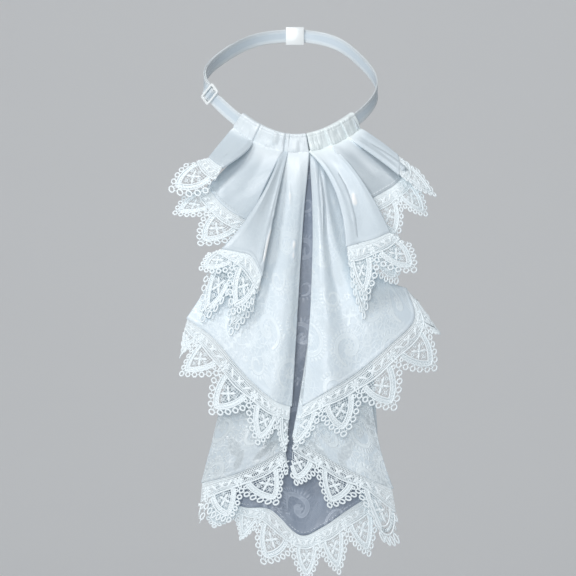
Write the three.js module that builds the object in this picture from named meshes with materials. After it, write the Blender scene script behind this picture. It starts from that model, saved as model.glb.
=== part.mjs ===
// Jabot with a neck strap, pleated satin tiers and guipure lace trims.
// Millimetres, +Z up, the front faces -Y, +X is to the viewer's right.
// The origin is the centre of the neck loop.

import * as THREE from "three";

// Neck loop
const NECK_HALF_WIDTH = 65;
const NECK_HALF_DEPTH = 60;
const LOOP_SIDE_HEIGHT = 2;
const LOOP_RISE = 38;
const LOOP_FRONT_DIP = 10;
const BACK_NARROWING = 0.14;
const BACK_NARROWING_AT_DEGREES = 125;
const BACK_NARROWING_SPREAD_DEGREES = 35;
const STAND_ASIDE = 6;
const STAND_ASIDE_AT_DEGREES = -98;
const STAND_ASIDE_SPREAD_DEGREES = 35;
const STAND_FORWARD = 11;
const STAND_FORWARD_AT_DEGREES = -66;
const STAND_FORWARD_SPREAD_DEGREES = 24;
const CORNER_FORWARD = 16;
const CORNER_FORWARD_AT_DEGREES = -86;
const CORNER_FORWARD_SPREAD_DEGREES = 18;
const LEFT_SIDE_RISE = 4;
const STRAP_WIDTH = 10;
const STRAP_THICKNESS = 0.8;
const STRAP_STEP_DEGREES = 5;

// Clearance that neighbouring pieces keep
const GAP = 0.3;
const SLOT_CLEARANCE = 0.4;

// Slide adjuster, seen at the viewer's left
const SLIDER_AT_DEGREES = -69;
const SLIDER_BAR = 1.4;
const SLIDER_SLOT = 2.6;
const SLIDER_RIM = 1.9;
const SLIDER_THICKNESS = 1.4;
const SLIDER_CORNER = 1.6;
const RETURN_END_DEGREES = -130;

// Plain clasp behind the neck
const CLASP_LENGTH = 14;
const CLASP_WALL = 1.2;
const CLASP_ROOM = 0.7;

// Pleated heading
const HEADING_HEIGHT = 13;
const HEADING_BACK = 1.6;
const HEADING_FRONT = 3.0;
const PLEAT_STEP = 1.3;
const NOTCH_AT_DEGREES = 7.9;
const NOTCH_HALF_GAP_DEGREES = 0.3;

// Cloth and lace
const CLOTH = 1.0;
const LACE = 1.0;
const LACE_WIDTH = 43;
const LACE_VALLEY = 0.42;
const LAYER_PITCH = 1.7;
const HALF_SPREAD = 100;
const DROP = 330;

// Chest that the tiers hang over
const CHEST_REACH = 53;
const CHEST_EASE = 80;
const CHEST_ROUND = 260;
const CHEST_START = 10;

const radians = THREE.MathUtils.degToRad;

// Colours, roughness and metalness
const COLOURS = {
  satin: { color: 0xe9edf4, roughness: 0.38, metalness: 0.0 },
  shade: { color: 0xd3d8e0, roughness: 0.42, metalness: 0.0 },
  lace: { color: 0xf4f6f8, roughness: 0.8, metalness: 0.0 },
  ribbon: { color: 0xd4d9e6, roughness: 0.35, metalness: 0.0 },
  plastic: { color: 0xf2f4f6, roughness: 0.25, metalness: 0.0 },
};

function material(name) {
  return new THREE.MeshStandardMaterial({ ...COLOURS[name], side: THREE.FrontSide });
}

// Neck loop: a point and its frame at an angle from the front, in degrees. The loop is an egg
// shape that stands off the neck at the slider and turns back sharply behind it.

function bump(degrees, at, spread) {
  const away = (degrees - at) / spread;
  return Math.exp(-away * away);
}

function loopPoint(degrees) {
  const t = radians(degrees);
  const front = Math.max(0, Math.cos(t));
  const left = Math.max(0, -Math.sin(t));
  const behind = bump(Math.abs(degrees), BACK_NARROWING_AT_DEGREES, BACK_NARROWING_SPREAD_DEGREES);
  const aside = STAND_ASIDE * bump(degrees, STAND_ASIDE_AT_DEGREES, STAND_ASIDE_SPREAD_DEGREES);
  const corner = CORNER_FORWARD * bump(degrees, CORNER_FORWARD_AT_DEGREES, CORNER_FORWARD_SPREAD_DEGREES);
  const stand = STAND_FORWARD * bump(degrees, STAND_FORWARD_AT_DEGREES, STAND_FORWARD_SPREAD_DEGREES);
  return new THREE.Vector3(
    NECK_HALF_WIDTH * Math.sin(t) * (1 - BACK_NARROWING * behind) - aside,
    -NECK_HALF_DEPTH * Math.cos(t) - stand - corner,
    LOOP_SIDE_HEIGHT - LOOP_RISE * Math.cos(t) - LOOP_FRONT_DIP * front ** 4 + LEFT_SIDE_RISE * left ** 1.5,
  );
}

function loopFrame(degrees) {
  const step = 0.5;
  const centre = loopPoint(degrees);
  const along = loopPoint(degrees + step).sub(loopPoint(degrees - step)).normalize();
  const out = new THREE.Vector3(along.y, -along.x, 0).normalize();
  const up = new THREE.Vector3().crossVectors(out, along).normalize();
  return { centre, along, out, up };
}

function inFrame(frame, along, out, up) {
  return frame.centre
    .clone()
    .addScaledVector(frame.along, along)
    .addScaledVector(frame.out, out)
    .addScaledVector(frame.up, up);
}

function loopSpeed(degrees) {
  return loopPoint(degrees + 0.5).distanceTo(loopPoint(degrees - 0.5));
}

// Closed bodies from rings of points

function meshFrom(name, colour, points, triangles) {
  const geometry = new THREE.BufferGeometry();
  const flat = points.flatMap((p) => [p.x, p.y, p.z]);
  geometry.setAttribute("position", new THREE.Float32BufferAttribute(flat, 3));
  const facing = signedVolume(points, triangles) < 0 ? triangles.map(([a, b, c]) => [a, c, b]) : triangles;
  geometry.setIndex(facing.flat());
  geometry.computeVertexNormals();
  const mesh = new THREE.Mesh(geometry, material(colour));
  mesh.name = name;
  return mesh;
}

function signedVolume(points, triangles) {
  const cross = new THREE.Vector3();
  let volume = 0;
  for (const [a, b, c] of triangles) {
    volume += cross.crossVectors(points[b], points[c]).dot(points[a]) / 6;
  }
  return volume;
}

function quad(triangles, a, b, c, d) {
  triangles.push([a, b, c], [a, c, d]);
}

// Rings with the same number of points, joined in order; a closed run has no ends
function tubeFromRings(name, colour, rings, closed) {
  const size = rings[0].length;
  const triangles = [];
  const last = closed ? rings.length : rings.length - 1;
  for (let i = 0; i < last; i += 1) {
    const here = i * size;
    const next = ((i + 1) % rings.length) * size;
    for (let j = 0; j < size; j += 1) {
      const k = (j + 1) % size;
      quad(triangles, here + j, next + j, next + k, here + k);
    }
  }
  if (!closed) {
    const end = (rings.length - 1) * size;
    for (let j = 1; j < size - 1; j += 1) {
      triangles.push([0, j, j + 1], [end, end + j + 1, end + j]);
    }
  }
  return meshFrom(name, colour, rings.flat(), triangles);
}

// Hollow run: outer and inner rings, joined at both ends
function sleeveFromRings(name, colour, outers, inners) {
  const size = outers[0].length;
  const inside = inners[0].length;
  const count = outers.length;
  const points = [...outers.flat(), ...inners.flat()];
  const base = count * size;
  const triangles = [];
  for (let i = 0; i < count - 1; i += 1) {
    for (let j = 0; j < size; j += 1) {
      const k = (j + 1) % size;
      quad(triangles, i * size + j, (i + 1) * size + j, (i + 1) * size + k, i * size + k);
    }
    for (let j = 0; j < inside; j += 1) {
      const k = (j + 1) % inside;
      const a = base + i * inside;
      const b = a + inside;
      quad(triangles, a + k, b + k, b + j, a + j);
    }
  }
  const outline = (ring) => ring.map(([, n, w]) => new THREE.Vector2(n, w));
  const faces = THREE.ShapeUtils.triangulateShape(outline(outers[0].local), [outline(inners[0].local)]);
  const pick = (index, station) =>
    index < size ? station * size + index : base + station * inside + (index - size);
  for (const [a, b, c] of faces) {
    triangles.push([pick(a, 0), pick(b, 0), pick(c, 0)]);
    triangles.push([pick(a, count - 1), pick(c, count - 1), pick(b, count - 1)]);
  }
  return meshFrom(name, colour, points, triangles);
}

// A ring of [along, out, up] offsets placed in a loop frame
function placeRing(frame, offsets) {
  const ring = offsets.map(([along, out, up]) => inFrame(frame, along, out, up));
  ring.local = offsets;
  return ring;
}

// Strap: one band all round, over the middle bar of the slider

const SLIDER_HALF_LENGTH = 1.5 * SLIDER_BAR + SLIDER_SLOT;
const STRAP_LIFT_OVER_BAR = SLIDER_THICKNESS + STRAP_THICKNESS + 2 * SLOT_CLEARANCE;
const SLIDER_OUT = STRAP_LIFT_OVER_BAR / 2;
const SLIDER_STRAIGHT = SLIDER_HALF_LENGTH + 1.5;
const CLASP_STRAIGHT = CLASP_LENGTH / 2 + 1.5;

function strapSection(frame, along, out, halfThickness) {
  const half = STRAP_WIDTH / 2;
  return placeRing(frame, [
    [along, out - halfThickness, -half],
    [along, out + halfThickness, -half],
    [along, out + halfThickness, half],
    [along, out - halfThickness, half],
  ]);
}

function straightStretch(degrees, offsets) {
  const frame = loopFrame(degrees);
  return offsets.map(([along, out]) => strapSection(frame, along, out, STRAP_THICKNESS / 2));
}

const SLIDER_SPAN_DEGREES = (SLIDER_STRAIGHT / loopSpeed(SLIDER_AT_DEGREES)) * 1.3;
const CLASP_SPAN_DEGREES = (CLASP_STRAIGHT / loopSpeed(180)) * 1.3;

function neckStrap() {
  const overBar = SLIDER_BAR / 2 + 0.3;
  const underBar = SLIDER_BAR / 2 + SLIDER_SLOT - 0.3;
  const rings = [];
  for (let degrees = -180; degrees < 180; degrees += STRAP_STEP_DEGREES) {
    const nearSlider = Math.abs(degrees - SLIDER_AT_DEGREES) < SLIDER_SPAN_DEGREES;
    const nearClasp = 180 - Math.abs(degrees) < CLASP_SPAN_DEGREES;
    if (degrees === -180) {
      rings.push(...straightStretch(180, [[-CLASP_STRAIGHT, 0], [CLASP_STRAIGHT, 0]]));
    } else if (!nearSlider && !nearClasp) {
      rings.push(strapSection(loopFrame(degrees), 0, 0, STRAP_THICKNESS / 2));
    }
    if (degrees <= SLIDER_AT_DEGREES && degrees + STRAP_STEP_DEGREES > SLIDER_AT_DEGREES) {
      rings.push(
        ...straightStretch(SLIDER_AT_DEGREES, [
          [-SLIDER_STRAIGHT, 0],
          [-underBar, 0],
          [-overBar, STRAP_LIFT_OVER_BAR],
          [overBar, STRAP_LIFT_OVER_BAR],
          [underBar, 0],
          [SLIDER_STRAIGHT, 0],
        ]),
      );
    }
  }
  return tubeFromRings("neck_strap", "ribbon", rings, true);
}

// The strap's turned-back end lies on it, from the slider round to behind the neck, and bends
// where the strap bends
function strapReturn() {
  const out = STRAP_THICKNESS + GAP;
  const rings = [];
  const first = loopFrame(SLIDER_AT_DEGREES);
  for (const along of [SLIDER_HALF_LENGTH + GAP, SLIDER_STRAIGHT]) {
    rings.push(strapSection(first, -along, out, STRAP_THICKNESS / 2));
  }
  const bendEnd = SLIDER_AT_DEGREES - SLIDER_SPAN_DEGREES;
  let degrees = STRAP_STEP_DEGREES * Math.floor(bendEnd / STRAP_STEP_DEGREES);
  while (degrees >= RETURN_END_DEGREES) {
    rings.push(strapSection(loopFrame(degrees), 0, out, STRAP_THICKNESS / 2));
    degrees -= STRAP_STEP_DEGREES;
  }
  return tubeFromRings("strap_return", "ribbon", rings, false);
}

// Slider: a rounded frame with two slots either side of the middle bar

function roundedRectangle(path, left, bottom, right, top, corner) {
  path.moveTo(left + corner, bottom);
  path.lineTo(right - corner, bottom);
  path.quadraticCurveTo(right, bottom, right, bottom + corner);
  path.lineTo(right, top - corner);
  path.quadraticCurveTo(right, top, right - corner, top);
  path.lineTo(left + corner, top);
  path.quadraticCurveTo(left, top, left, top - corner);
  path.lineTo(left, bottom + corner);
  path.quadraticCurveTo(left, bottom, left + corner, bottom);
  return path;
}

function strapSlider() {
  const halfSlot = STRAP_WIDTH / 2 + SLOT_CLEARANCE + GAP;
  const halfHeight = halfSlot + SLIDER_RIM;
  const length = SLIDER_HALF_LENGTH;
  const outline = new THREE.Shape();
  const shape = roundedRectangle(outline, -length, -halfHeight, length, halfHeight, SLIDER_CORNER);
  const inner = SLIDER_BAR / 2;
  for (const side of [-1, 1]) {
    const a = side * inner;
    const b = side * (inner + SLIDER_SLOT);
    const left = Math.min(a, b);
    const right = Math.max(a, b);
    shape.holes.push(roundedRectangle(new THREE.Path(), left, -halfSlot, right, halfSlot, 0.5));
  }
  const geometry = new THREE.ExtrudeGeometry(shape, {
    depth: SLIDER_THICKNESS,
    bevelEnabled: false,
    curveSegments: 4,
  });
  geometry.translate(0, 0, -SLIDER_THICKNESS / 2);
  const frame = loopFrame(SLIDER_AT_DEGREES);
  const basis = new THREE.Matrix4().makeBasis(frame.along, frame.up, frame.out);
  if (basis.determinant() < 0) {
    basis.makeBasis(frame.along.clone().negate(), frame.up, frame.out);
  }
  const mesh = new THREE.Mesh(geometry, material("plastic"));
  mesh.name = "strap_slider";
  mesh.quaternion.setFromRotationMatrix(basis);
  mesh.position.copy(inFrame(frame, 0, SLIDER_OUT, 0));
  return mesh;
}

// Clasp: a plain sleeve round the strap

function backClasp() {
  const frame = loopFrame(180);
  const roomOut = STRAP_THICKNESS / 2 + CLASP_ROOM;
  const roomUp = STRAP_WIDTH / 2 + CLASP_ROOM;
  const rectangle = (along, out, up) => [
    [along, -out, -up],
    [along, out, -up],
    [along, out, up],
    [along, -out, up],
  ];
  const ends = [-CLASP_LENGTH / 2, CLASP_LENGTH / 2];
  const outers = ends.map((s) => placeRing(frame, rectangle(s, roomOut + CLASP_WALL, roomUp + CLASP_WALL)));
  const inners = ends.map((s) => placeRing(frame, rectangle(s, roomOut, roomUp)));
  return sleeveFromRings("back_clasp", "plastic", outers, inners);
}

// Heading: the pleats of the casing, each a wedge that is thickest at its fold edge.
// Columns: the fold edge and the far edge, in degrees round the neck.

const HEADING_LEFT = [
  { fold: NOTCH_AT_DEGREES - NOTCH_HALF_GAP_DEGREES, far: -6.9 },
  { fold: -6.9, far: -25.7 },
  { fold: -25.7, far: -40 },
];
const HEADING_RIGHT = [
  { fold: NOTCH_AT_DEGREES + NOTCH_HALF_GAP_DEGREES, far: 21.3 },
  { fold: 21.3, far: 32.7 },
  { fold: 32.7, far: 40.6 },
  { fold: 40.6, far: 43.6 },
];
const HEADING_STEP_DEGREES = 4;
const FOLD_STEP_DEGREES = 0.2;

function heading(name, pleats) {
  const half = HEADING_HEIGHT / 2;
  const slotOut = STRAP_THICKNESS / 2 + SLOT_CLEARANCE;
  const slotUp = STRAP_WIDTH / 2 + SLOT_CLEARANCE;
  const outers = [];
  const inners = [];
  for (const { fold, far } of pleats) {
    const count = Math.max(1, Math.round(Math.abs(far - fold) / HEADING_STEP_DEGREES));
    for (let i = 0; i <= count; i += 1) {
      const share = i / count;
      const inset = i === 0 ? Math.sign(far - fold) * FOLD_STEP_DEGREES : 0;
      const frame = loopFrame(fold + (far - fold) * share + inset);
      const front = HEADING_FRONT + PLEAT_STEP * (1 - share) ** 1.5;
      outers.push(
        placeRing(frame, [
          [0, -HEADING_BACK, -half],
          [0, front, -half],
          [0, front + 0.3, -half * 0.35],
          [0, front, half * 0.6],
          [0, front - 1.2, half],
          [0, -HEADING_BACK * 0.6, half],
          [0, -HEADING_BACK, half * 0.8],
        ]),
      );
      inners.push(
        placeRing(frame, [
          [0, -slotOut, -slotUp],
          [0, slotOut, -slotUp],
          [0, slotOut, slotUp],
          [0, -slotOut, slotUp],
        ]),
      );
    }
  }
  return sleeveFromRings(name, "satin", outers, inners);
}

// Front view: shares of the half spread (right of the notch) and of the drop (below the heading's top)

const NOTCH = loopFrame(NOTCH_AT_DEGREES);
const TOP_Z = NOTCH.centre.z + HEADING_HEIGHT / 2;

function acrossX(share) {
  return NOTCH.centre.x + HALF_SPREAD * share;
}

function downZ(share) {
  return TOP_Z - DROP * share;
}

function chestY(x, z) {
  const below = TOP_Z - CHEST_START - z;
  const reach = CHEST_REACH * (1 - Math.exp(-below / CHEST_EASE));
  return -NECK_HALF_DEPTH - reach + (x * x) / (2 * CHEST_ROUND);
}

// Panels. Each row is a line of the cloth from its top to its hem; the first row is the fold
// edge that faces the centre. Columns:
// pin, tuck: degrees round the neck and layer under the heading (or seat: share across the back panel)
// mx, mz, ml: halfway point across and down, and its lift off the chest in millimetres
// hx, hz, hl: the same at the hem
// fall, reach, tl: the lace's angle from straight down, its share of the lace width, its lift

const LEFT_OUTER = [
  {
    pin: -26, tuck: 2, mx: -0.46, mz: 0.038, ml: 13,
    hx: -0.63, hz: 0.077, hl: 26, fall: -26, reach: 1.0, tl: 27,
  },
  {
    pin: -32.7, tuck: 1.6, mx: -0.55, mz: 0.022, ml: 12,
    hx: -0.68, hz: 0.067, hl: 25, fall: -60, reach: 0.95, tl: 27,
  },
  {
    pin: -39.4, tuck: 1, mx: -0.63, mz: 0.013, ml: 9,
    hx: -0.73, hz: 0.054, hl: 21, fall: -76, reach: 0.84, tl: 20,
  },
];

const LEFT_MIDDLE = [
  {
    pin: -7.3, tuck: 1, mx: -0.3, mz: 0.105, ml: 9,
    hx: -0.43, hz: 0.2, hl: 12, fall: -36, reach: 0.8, tl: 13,
  },
  {
    pin: -13.7, tuck: 1.2, mx: -0.43, mz: 0.112, ml: 12,
    hx: -0.58, hz: 0.174, hl: 18, fall: -51, reach: 0.83, tl: 18,
  },
  {
    pin: -19.7, tuck: 1.2, mx: -0.54, mz: 0.1, ml: 14,
    hx: -0.675, hz: 0.147, hl: 20, fall: -64, reach: 0.8, tl: 20,
  },
  {
    pin: -25.8, tuck: 1, mx: -0.6, mz: 0.076, ml: 9,
    hx: -0.74, hz: 0.12, hl: 16, fall: -74, reach: 0.75, tl: 16,
  },
];

const LEFT_INNER = [
  {
    pin: -4.2, tuck: 2, mx: -0.24, mz: 0.166, ml: 14,
    hx: -0.335, hz: 0.322, hl: 18, fall: -15, reach: 1.0, tl: 19,
  },
  {
    pin: -5.2, tuck: 2, mx: -0.275, mz: 0.16, ml: 15,
    hx: -0.41, hz: 0.278, hl: 20, fall: -27, reach: 1.0, tl: 20,
  },
  {
    pin: -6.2, tuck: 2, mx: -0.315, mz: 0.156, ml: 17,
    hx: -0.51, hz: 0.268, hl: 21, fall: -58, reach: 0.76, tl: 21,
  },
  {
    pin: -7.2, tuck: 2, mx: -0.355, mz: 0.155, ml: 18,
    hx: -0.63, hz: 0.262, hl: 20, fall: -76, reach: 0.5, tl: 20,
  },
];

const LEFT_CENTRE = [
  {
    pin: 7.3, tuck: 1, mx: -0.055, mz: 0.294, ml: 5,
    hx: -0.12, hz: 0.614, hl: 8, fall: -4, reach: 0.8, tl: 12,
  },
  {
    pin: 3.3, tuck: 0.8, mx: -0.14, mz: 0.294, ml: 10.5,
    hx: -0.26, hz: 0.597, hl: 13, fall: -17, reach: 0.84, tl: 14,
  },
  {
    pin: -1.7, tuck: 0.5, mx: -0.26, mz: 0.267, ml: 8,
    hx: -0.475, hz: 0.538, hl: 10, fall: -44, reach: 0.92, tl: 14,
  },
  {
    pin: -4.7, tuck: 0.2, mx: -0.4, mz: 0.25, ml: 8,
    hx: -0.69, hz: 0.462, hl: 13, fall: -50, reach: 0.86, tl: 12,
  },
  {
    pin: -6.9, tuck: 0, mx: -0.474, mz: 0.217, ml: 4,
    hx: -0.885, hz: 0.42, hl: 8, fall: -14, reach: 0.55, tl: 7,
  },
];

const RIGHT_OUTER = [
  {
    pin: 33, tuck: 2, mx: 0.5, mz: 0.047, ml: 13,
    hx: 0.685, hz: 0.092, hl: 26, fall: 45, reach: 0.75, tl: 27,
  },
  {
    pin: 38.3, tuck: 1.6, mx: 0.512, mz: 0.027, ml: 11,
    hx: 0.69, hz: 0.07, hl: 24, fall: 50, reach: 0.85, tl: 26,
  },
  {
    pin: 43.1, tuck: 1, mx: 0.53, mz: 0.012, ml: 8,
    hx: 0.68, hz: 0.05, hl: 20, fall: 55, reach: 0.82, tl: 20,
  },
];

const RIGHT_MIDDLE = [
  {
    pin: 21.6, tuck: 1, mx: 0.3, mz: 0.08, ml: 8,
    hx: 0.45, hz: 0.152, hl: 12, fall: 8, reach: 0.88, tl: 13,
  },
  {
    pin: 25.3, tuck: 1.2, mx: 0.42, mz: 0.079, ml: 10,
    hx: 0.58, hz: 0.13, hl: 14, fall: 22, reach: 0.86, tl: 15,
  },
  {
    pin: 29.3, tuck: 1.2, mx: 0.5, mz: 0.066, ml: 11,
    hx: 0.66, hz: 0.114, hl: 17, fall: 38, reach: 0.8, tl: 17,
  },
  {
    pin: 32.8, tuck: 1, mx: 0.54, mz: 0.058, ml: 8,
    hx: 0.72, hz: 0.096, hl: 16, fall: 52, reach: 0.75, tl: 16,
  },
];

const RIGHT_INNER = [
  {
    pin: 8.7, tuck: 2, mx: 0.215, mz: 0.128, ml: 12,
    hx: 0.296, hz: 0.256, hl: 17, fall: 6, reach: 1.0, tl: 18,
  },
  {
    pin: 12.8, tuck: 2, mx: 0.29, mz: 0.132, ml: 13,
    hx: 0.393, hz: 0.247, hl: 18, fall: 12, reach: 1.0, tl: 19,
  },
  {
    pin: 17.3, tuck: 2, mx: 0.356, mz: 0.121, ml: 14,
    hx: 0.5, hz: 0.238, hl: 20, fall: 42, reach: 0.92, tl: 20,
  },
  {
    pin: 21.4, tuck: 2, mx: 0.407, mz: 0.11, ml: 14.5,
    hx: 0.607, hz: 0.224, hl: 20, fall: 64, reach: 0.84, tl: 20,
  },
];

const RIGHT_CENTRE = [
  {
    pin: 8.5, tuck: 0.9, mx: 0.042, mz: 0.294, ml: 5,
    hx: -0.03, hz: 0.612, hl: 8, fall: 0, reach: 0.82, tl: 12,
  },
  {
    pin: 11.3, tuck: 0.7, mx: 0.115, mz: 0.294, ml: 10,
    hx: 0.17, hz: 0.576, hl: 13, fall: 7, reach: 0.88, tl: 14,
  },
  {
    pin: 13.8, tuck: 0.5, mx: 0.18, mz: 0.294, ml: 6.5,
    hx: 0.37, hz: 0.538, hl: 10, fall: 25, reach: 0.93, tl: 14,
  },
  {
    pin: 16.3, tuck: 0.3, mx: 0.25, mz: 0.289, ml: 8.5,
    hx: 0.6, hz: 0.48, hl: 13, fall: 38, reach: 0.92, tl: 13,
  },
  {
    pin: 18.3, tuck: 0.2, mx: 0.32, mz: 0.278, ml: 5,
    hx: 0.79, hz: 0.42, hl: 9, fall: 47, reach: 0.8, tl: 11,
  },
  {
    pin: 20.3, tuck: 0, mx: 0.365, mz: 0.256, ml: 4,
    hx: 0.74, hz: 0.352, hl: 6, fall: 41, reach: 0.7, tl: 6,
  },
];

const BACK = [
  {
    pin: -5.7, tuck: -1, mx: -0.52, mz: 0.42, ml: 1,
    hx: -0.69, hz: 0.814, hl: 2, fall: -25, reach: 0.56, tl: 3,
  },
  {
    pin: -1.7, tuck: -1, mx: -0.36, mz: 0.42, ml: 2,
    hx: -0.47, hz: 0.839, hl: 4, fall: -20, reach: 0.5, tl: 5,
  },
  {
    pin: 2.3, tuck: -1, mx: -0.19, mz: 0.42, ml: 1.5,
    hx: -0.27, hz: 0.845, hl: 3, fall: -26, reach: 0.86, tl: 4,
  },
  {
    pin: 6.8, tuck: -1, mx: -0.03, mz: 0.42, ml: 1,
    hx: -0.06, hz: 0.901, hl: 2, fall: -5, reach: 0.8, tl: 3,
  },
  {
    pin: 11.3, tuck: -1, mx: 0.13, mz: 0.42, ml: 1.5,
    hx: 0.11, hz: 0.884, hl: 3, fall: 9, reach: 0.9, tl: 4,
  },
  {
    pin: 15.3, tuck: -1, mx: 0.3, mz: 0.42, ml: 2,
    hx: 0.3, hz: 0.845, hl: 4, fall: 14, reach: 0.95, tl: 5,
  },
  {
    pin: 19.3, tuck: -1, mx: 0.45, mz: 0.42, ml: 1,
    hx: 0.51, hz: 0.805, hl: 2, fall: 20, reach: 0.88, tl: 3,
  },
];

const LOWER_LEFT = [
  {
    seat: 0.43, mx: -0.15, mz: 0.59, ml: 5,
    hx: -0.155, hz: 0.708, hl: 7, fall: 8, reach: 0.72, tl: 9,
  },
  {
    seat: 0.36, mx: -0.29, mz: 0.595, ml: 6,
    hx: -0.333, hz: 0.74, hl: 8, fall: 26, reach: 0.76, tl: 10,
  },
  {
    seat: 0.25, mx: -0.45, mz: 0.6, ml: 6,
    hx: -0.526, hz: 0.765, hl: 8, fall: 18, reach: 0.78, tl: 10,
  },
  {
    seat: 0.14, mx: -0.57, mz: 0.61, ml: 5,
    hx: -0.66, hz: 0.777, hl: 8, fall: 9, reach: 0.8, tl: 10,
  },
  {
    seat: 0.03, mx: -0.65, mz: 0.63, ml: 5.5,
    hx: -0.782, hz: 0.786, hl: 6, fall: -6, reach: 1.25, tl: 7,
  },
];

const LOWER_RIGHT = [
  {
    seat: 0.57, mx: -0.035, mz: 0.57, ml: 5,
    hx: -0.105, hz: 0.684, hl: 7, fall: -5, reach: 0.74, tl: 9,
  },
  {
    seat: 0.67, mx: 0.09, mz: 0.58, ml: 6,
    hx: 0.08, hz: 0.717, hl: 8, fall: -9, reach: 0.76, tl: 10,
  },
  {
    seat: 0.75, mx: 0.23, mz: 0.59, ml: 6,
    hx: 0.28, hz: 0.751, hl: 8, fall: -14, reach: 0.76, tl: 10,
  },
  {
    seat: 0.86, mx: 0.38, mz: 0.61, ml: 5,
    hx: 0.467, hz: 0.778, hl: 8, fall: 2, reach: 0.8, tl: 10,
  },
  {
    seat: 0.97, mx: 0.49, mz: 0.64, ml: 5.5,
    hx: 0.634, hz: 0.799, hl: 6, fall: 10, reach: 1.6, tl: 7,
  },
];

// Where the bottom tier's front panels are sewn on, as a share of the way down the back panel
const SEAT_DOWN = 0.5;

// Smooth run through a column of values, at a share from 0 to 1
function through(values, share) {
  const last = values.length - 1;
  const place = THREE.MathUtils.clamp(share, 0, 1) * last;
  const i = Math.min(Math.floor(place), last - 1);
  const t = place - i;
  const at = (k) => values[THREE.MathUtils.clamp(k, 0, last)];
  const a = at(i);
  const b = at(i + 1);
  const before = i === 0 ? 2 * a - b : at(i - 1);
  const after = i + 1 === last ? 2 * b - a : at(i + 2);
  const slopeA = (b - before) / 2;
  const slopeB = (after - a) / 2;
  const t2 = t * t;
  const t3 = t2 * t;
  const fromA = a * (2 * t3 - 3 * t2 + 1) + slopeA * (t3 - 2 * t2 + t);
  const fromB = b * (3 * t2 - 2 * t3) + slopeB * (t3 - t2);
  return fromA + fromB;
}

function column(rows, key, share) {
  return through(rows.map((row) => row[key]), share);
}

// A panel's top edge and its facing direction there
function panelTop(rows, across) {
  if (rows[0].seat !== undefined) {
    const seat = column(rows, "seat", across);
    const point = panelPoint(BACK, seat, SEAT_DOWN);
    const facing = panelFacing(BACK, seat, SEAT_DOWN);
    return { point: point.addScaledVector(facing, CLOTH + GAP), facing };
  }
  const frame = loopFrame(column(rows, "pin", across));
  const out = STRAP_THICKNESS / 2 + column(rows, "tuck", across) * LAYER_PITCH;
  return { point: inFrame(frame, 0, out, -HEADING_HEIGHT / 2 - GAP), facing: frame.out };
}

function panelPoint(rows, across, down) {
  const top = panelTop(rows, across).point;
  const atTop = (1 - down) * (1 - 2 * down);
  const atMiddle = 4 * down * (1 - down);
  const atHem = down * (2 * down - 1);
  const middleX = acrossX(column(rows, "mx", across));
  const middleZ = downZ(column(rows, "mz", across));
  const hemX = acrossX(column(rows, "hx", across));
  const hemZ = downZ(column(rows, "hz", across));
  const x = atTop * top.x + atMiddle * middleX + atHem * hemX;
  const z = atTop * top.z + atMiddle * middleZ + atHem * hemZ;
  const topLift = chestY(top.x, top.z) - top.y;
  const lift = atTop * topLift + atMiddle * column(rows, "ml", across) + atHem * column(rows, "hl", across);
  return new THREE.Vector3(x, chestY(x, z) - lift, z);
}

// Lace below the hem; down is 0 at the hem and 1 at the teeth's tips
function lacePoint(rows, across, down) {
  const hem = panelPoint(rows, across, 1);
  const angle = radians(column(rows, "fall", across));
  const reach = column(rows, "reach", across) * LACE_WIDTH * down;
  const x = hem.x + reach * Math.sin(angle);
  const z = hem.z - reach * Math.cos(angle);
  const lift = THREE.MathUtils.lerp(column(rows, "hl", across), column(rows, "tl", across), down);
  return new THREE.Vector3(x, chestY(x, z) - lift, z);
}

function facingOf(surface, rows, across, down) {
  const step = 0.01;
  const a = THREE.MathUtils.clamp(across, step, 1 - step);
  const d = THREE.MathUtils.clamp(down, step, 1 - step);
  const side = surface(rows, a + step, d).sub(surface(rows, a - step, d));
  const fall = surface(rows, a, d + step).sub(surface(rows, a, d - step));
  const facing = side.cross(fall).normalize();
  return facing.y > 0 ? facing.negate() : facing;
}

function panelFacing(rows, across, down) {
  const own = facingOf(panelPoint, rows, across, down);
  const blend = Math.min(1, down / 0.15);
  if (blend === 1) {
    return own;
  }
  return panelTop(rows, across).facing.clone().lerp(own, blend).normalize();
}

function laceFacing(rows, across, down) {
  const own = facingOf(lacePoint, rows, across, down);
  const hem = panelFacing(rows, across, 1);
  return hem.lerp(own, Math.min(1, down / 0.3)).normalize();
}

// Cloth wall from a grid over the panel
function clothWall(name, colour, rows, acrossCount, downCount) {
  const points = [];
  const front = [];
  const back = [];
  for (let j = 0; j <= downCount; j += 1) {
    for (let i = 0; i <= acrossCount; i += 1) {
      const point = panelPoint(rows, i / acrossCount, j / downCount);
      const facing = panelFacing(rows, i / acrossCount, j / downCount);
      front.push(points.push(point.clone().addScaledVector(facing, CLOTH / 2)) - 1);
      back.push(points.push(point.clone().addScaledVector(facing, -CLOTH / 2)) - 1);
    }
  }
  const width = acrossCount + 1;
  const at = (i, j) => j * width + i;
  const triangles = [];
  for (let j = 0; j < downCount; j += 1) {
    for (let i = 0; i < acrossCount; i += 1) {
      const corners = [at(i, j), at(i + 1, j), at(i + 1, j + 1), at(i, j + 1)];
      quad(triangles, ...corners.map((k) => front[k]));
      quad(triangles, ...corners.map((k) => back[k]).reverse());
    }
  }
  const rim = [];
  for (let i = 0; i < acrossCount; i += 1) {
    rim.push(at(i, 0));
  }
  for (let j = 0; j < downCount; j += 1) {
    rim.push(at(acrossCount, j));
  }
  for (let i = acrossCount; i > 0; i -= 1) {
    rim.push(at(i, downCount));
  }
  for (let j = downCount; j > 0; j -= 1) {
    rim.push(at(0, j));
  }
  rim.forEach((k, index) => {
    const next = rim[(index + 1) % rim.length];
    quad(triangles, front[next], front[k], back[k], back[next]);
  });
  return meshFrom(name, colour, points, triangles);
}

// Lace trim: pointed teeth along the hem, each pierced by three gaps

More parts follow.
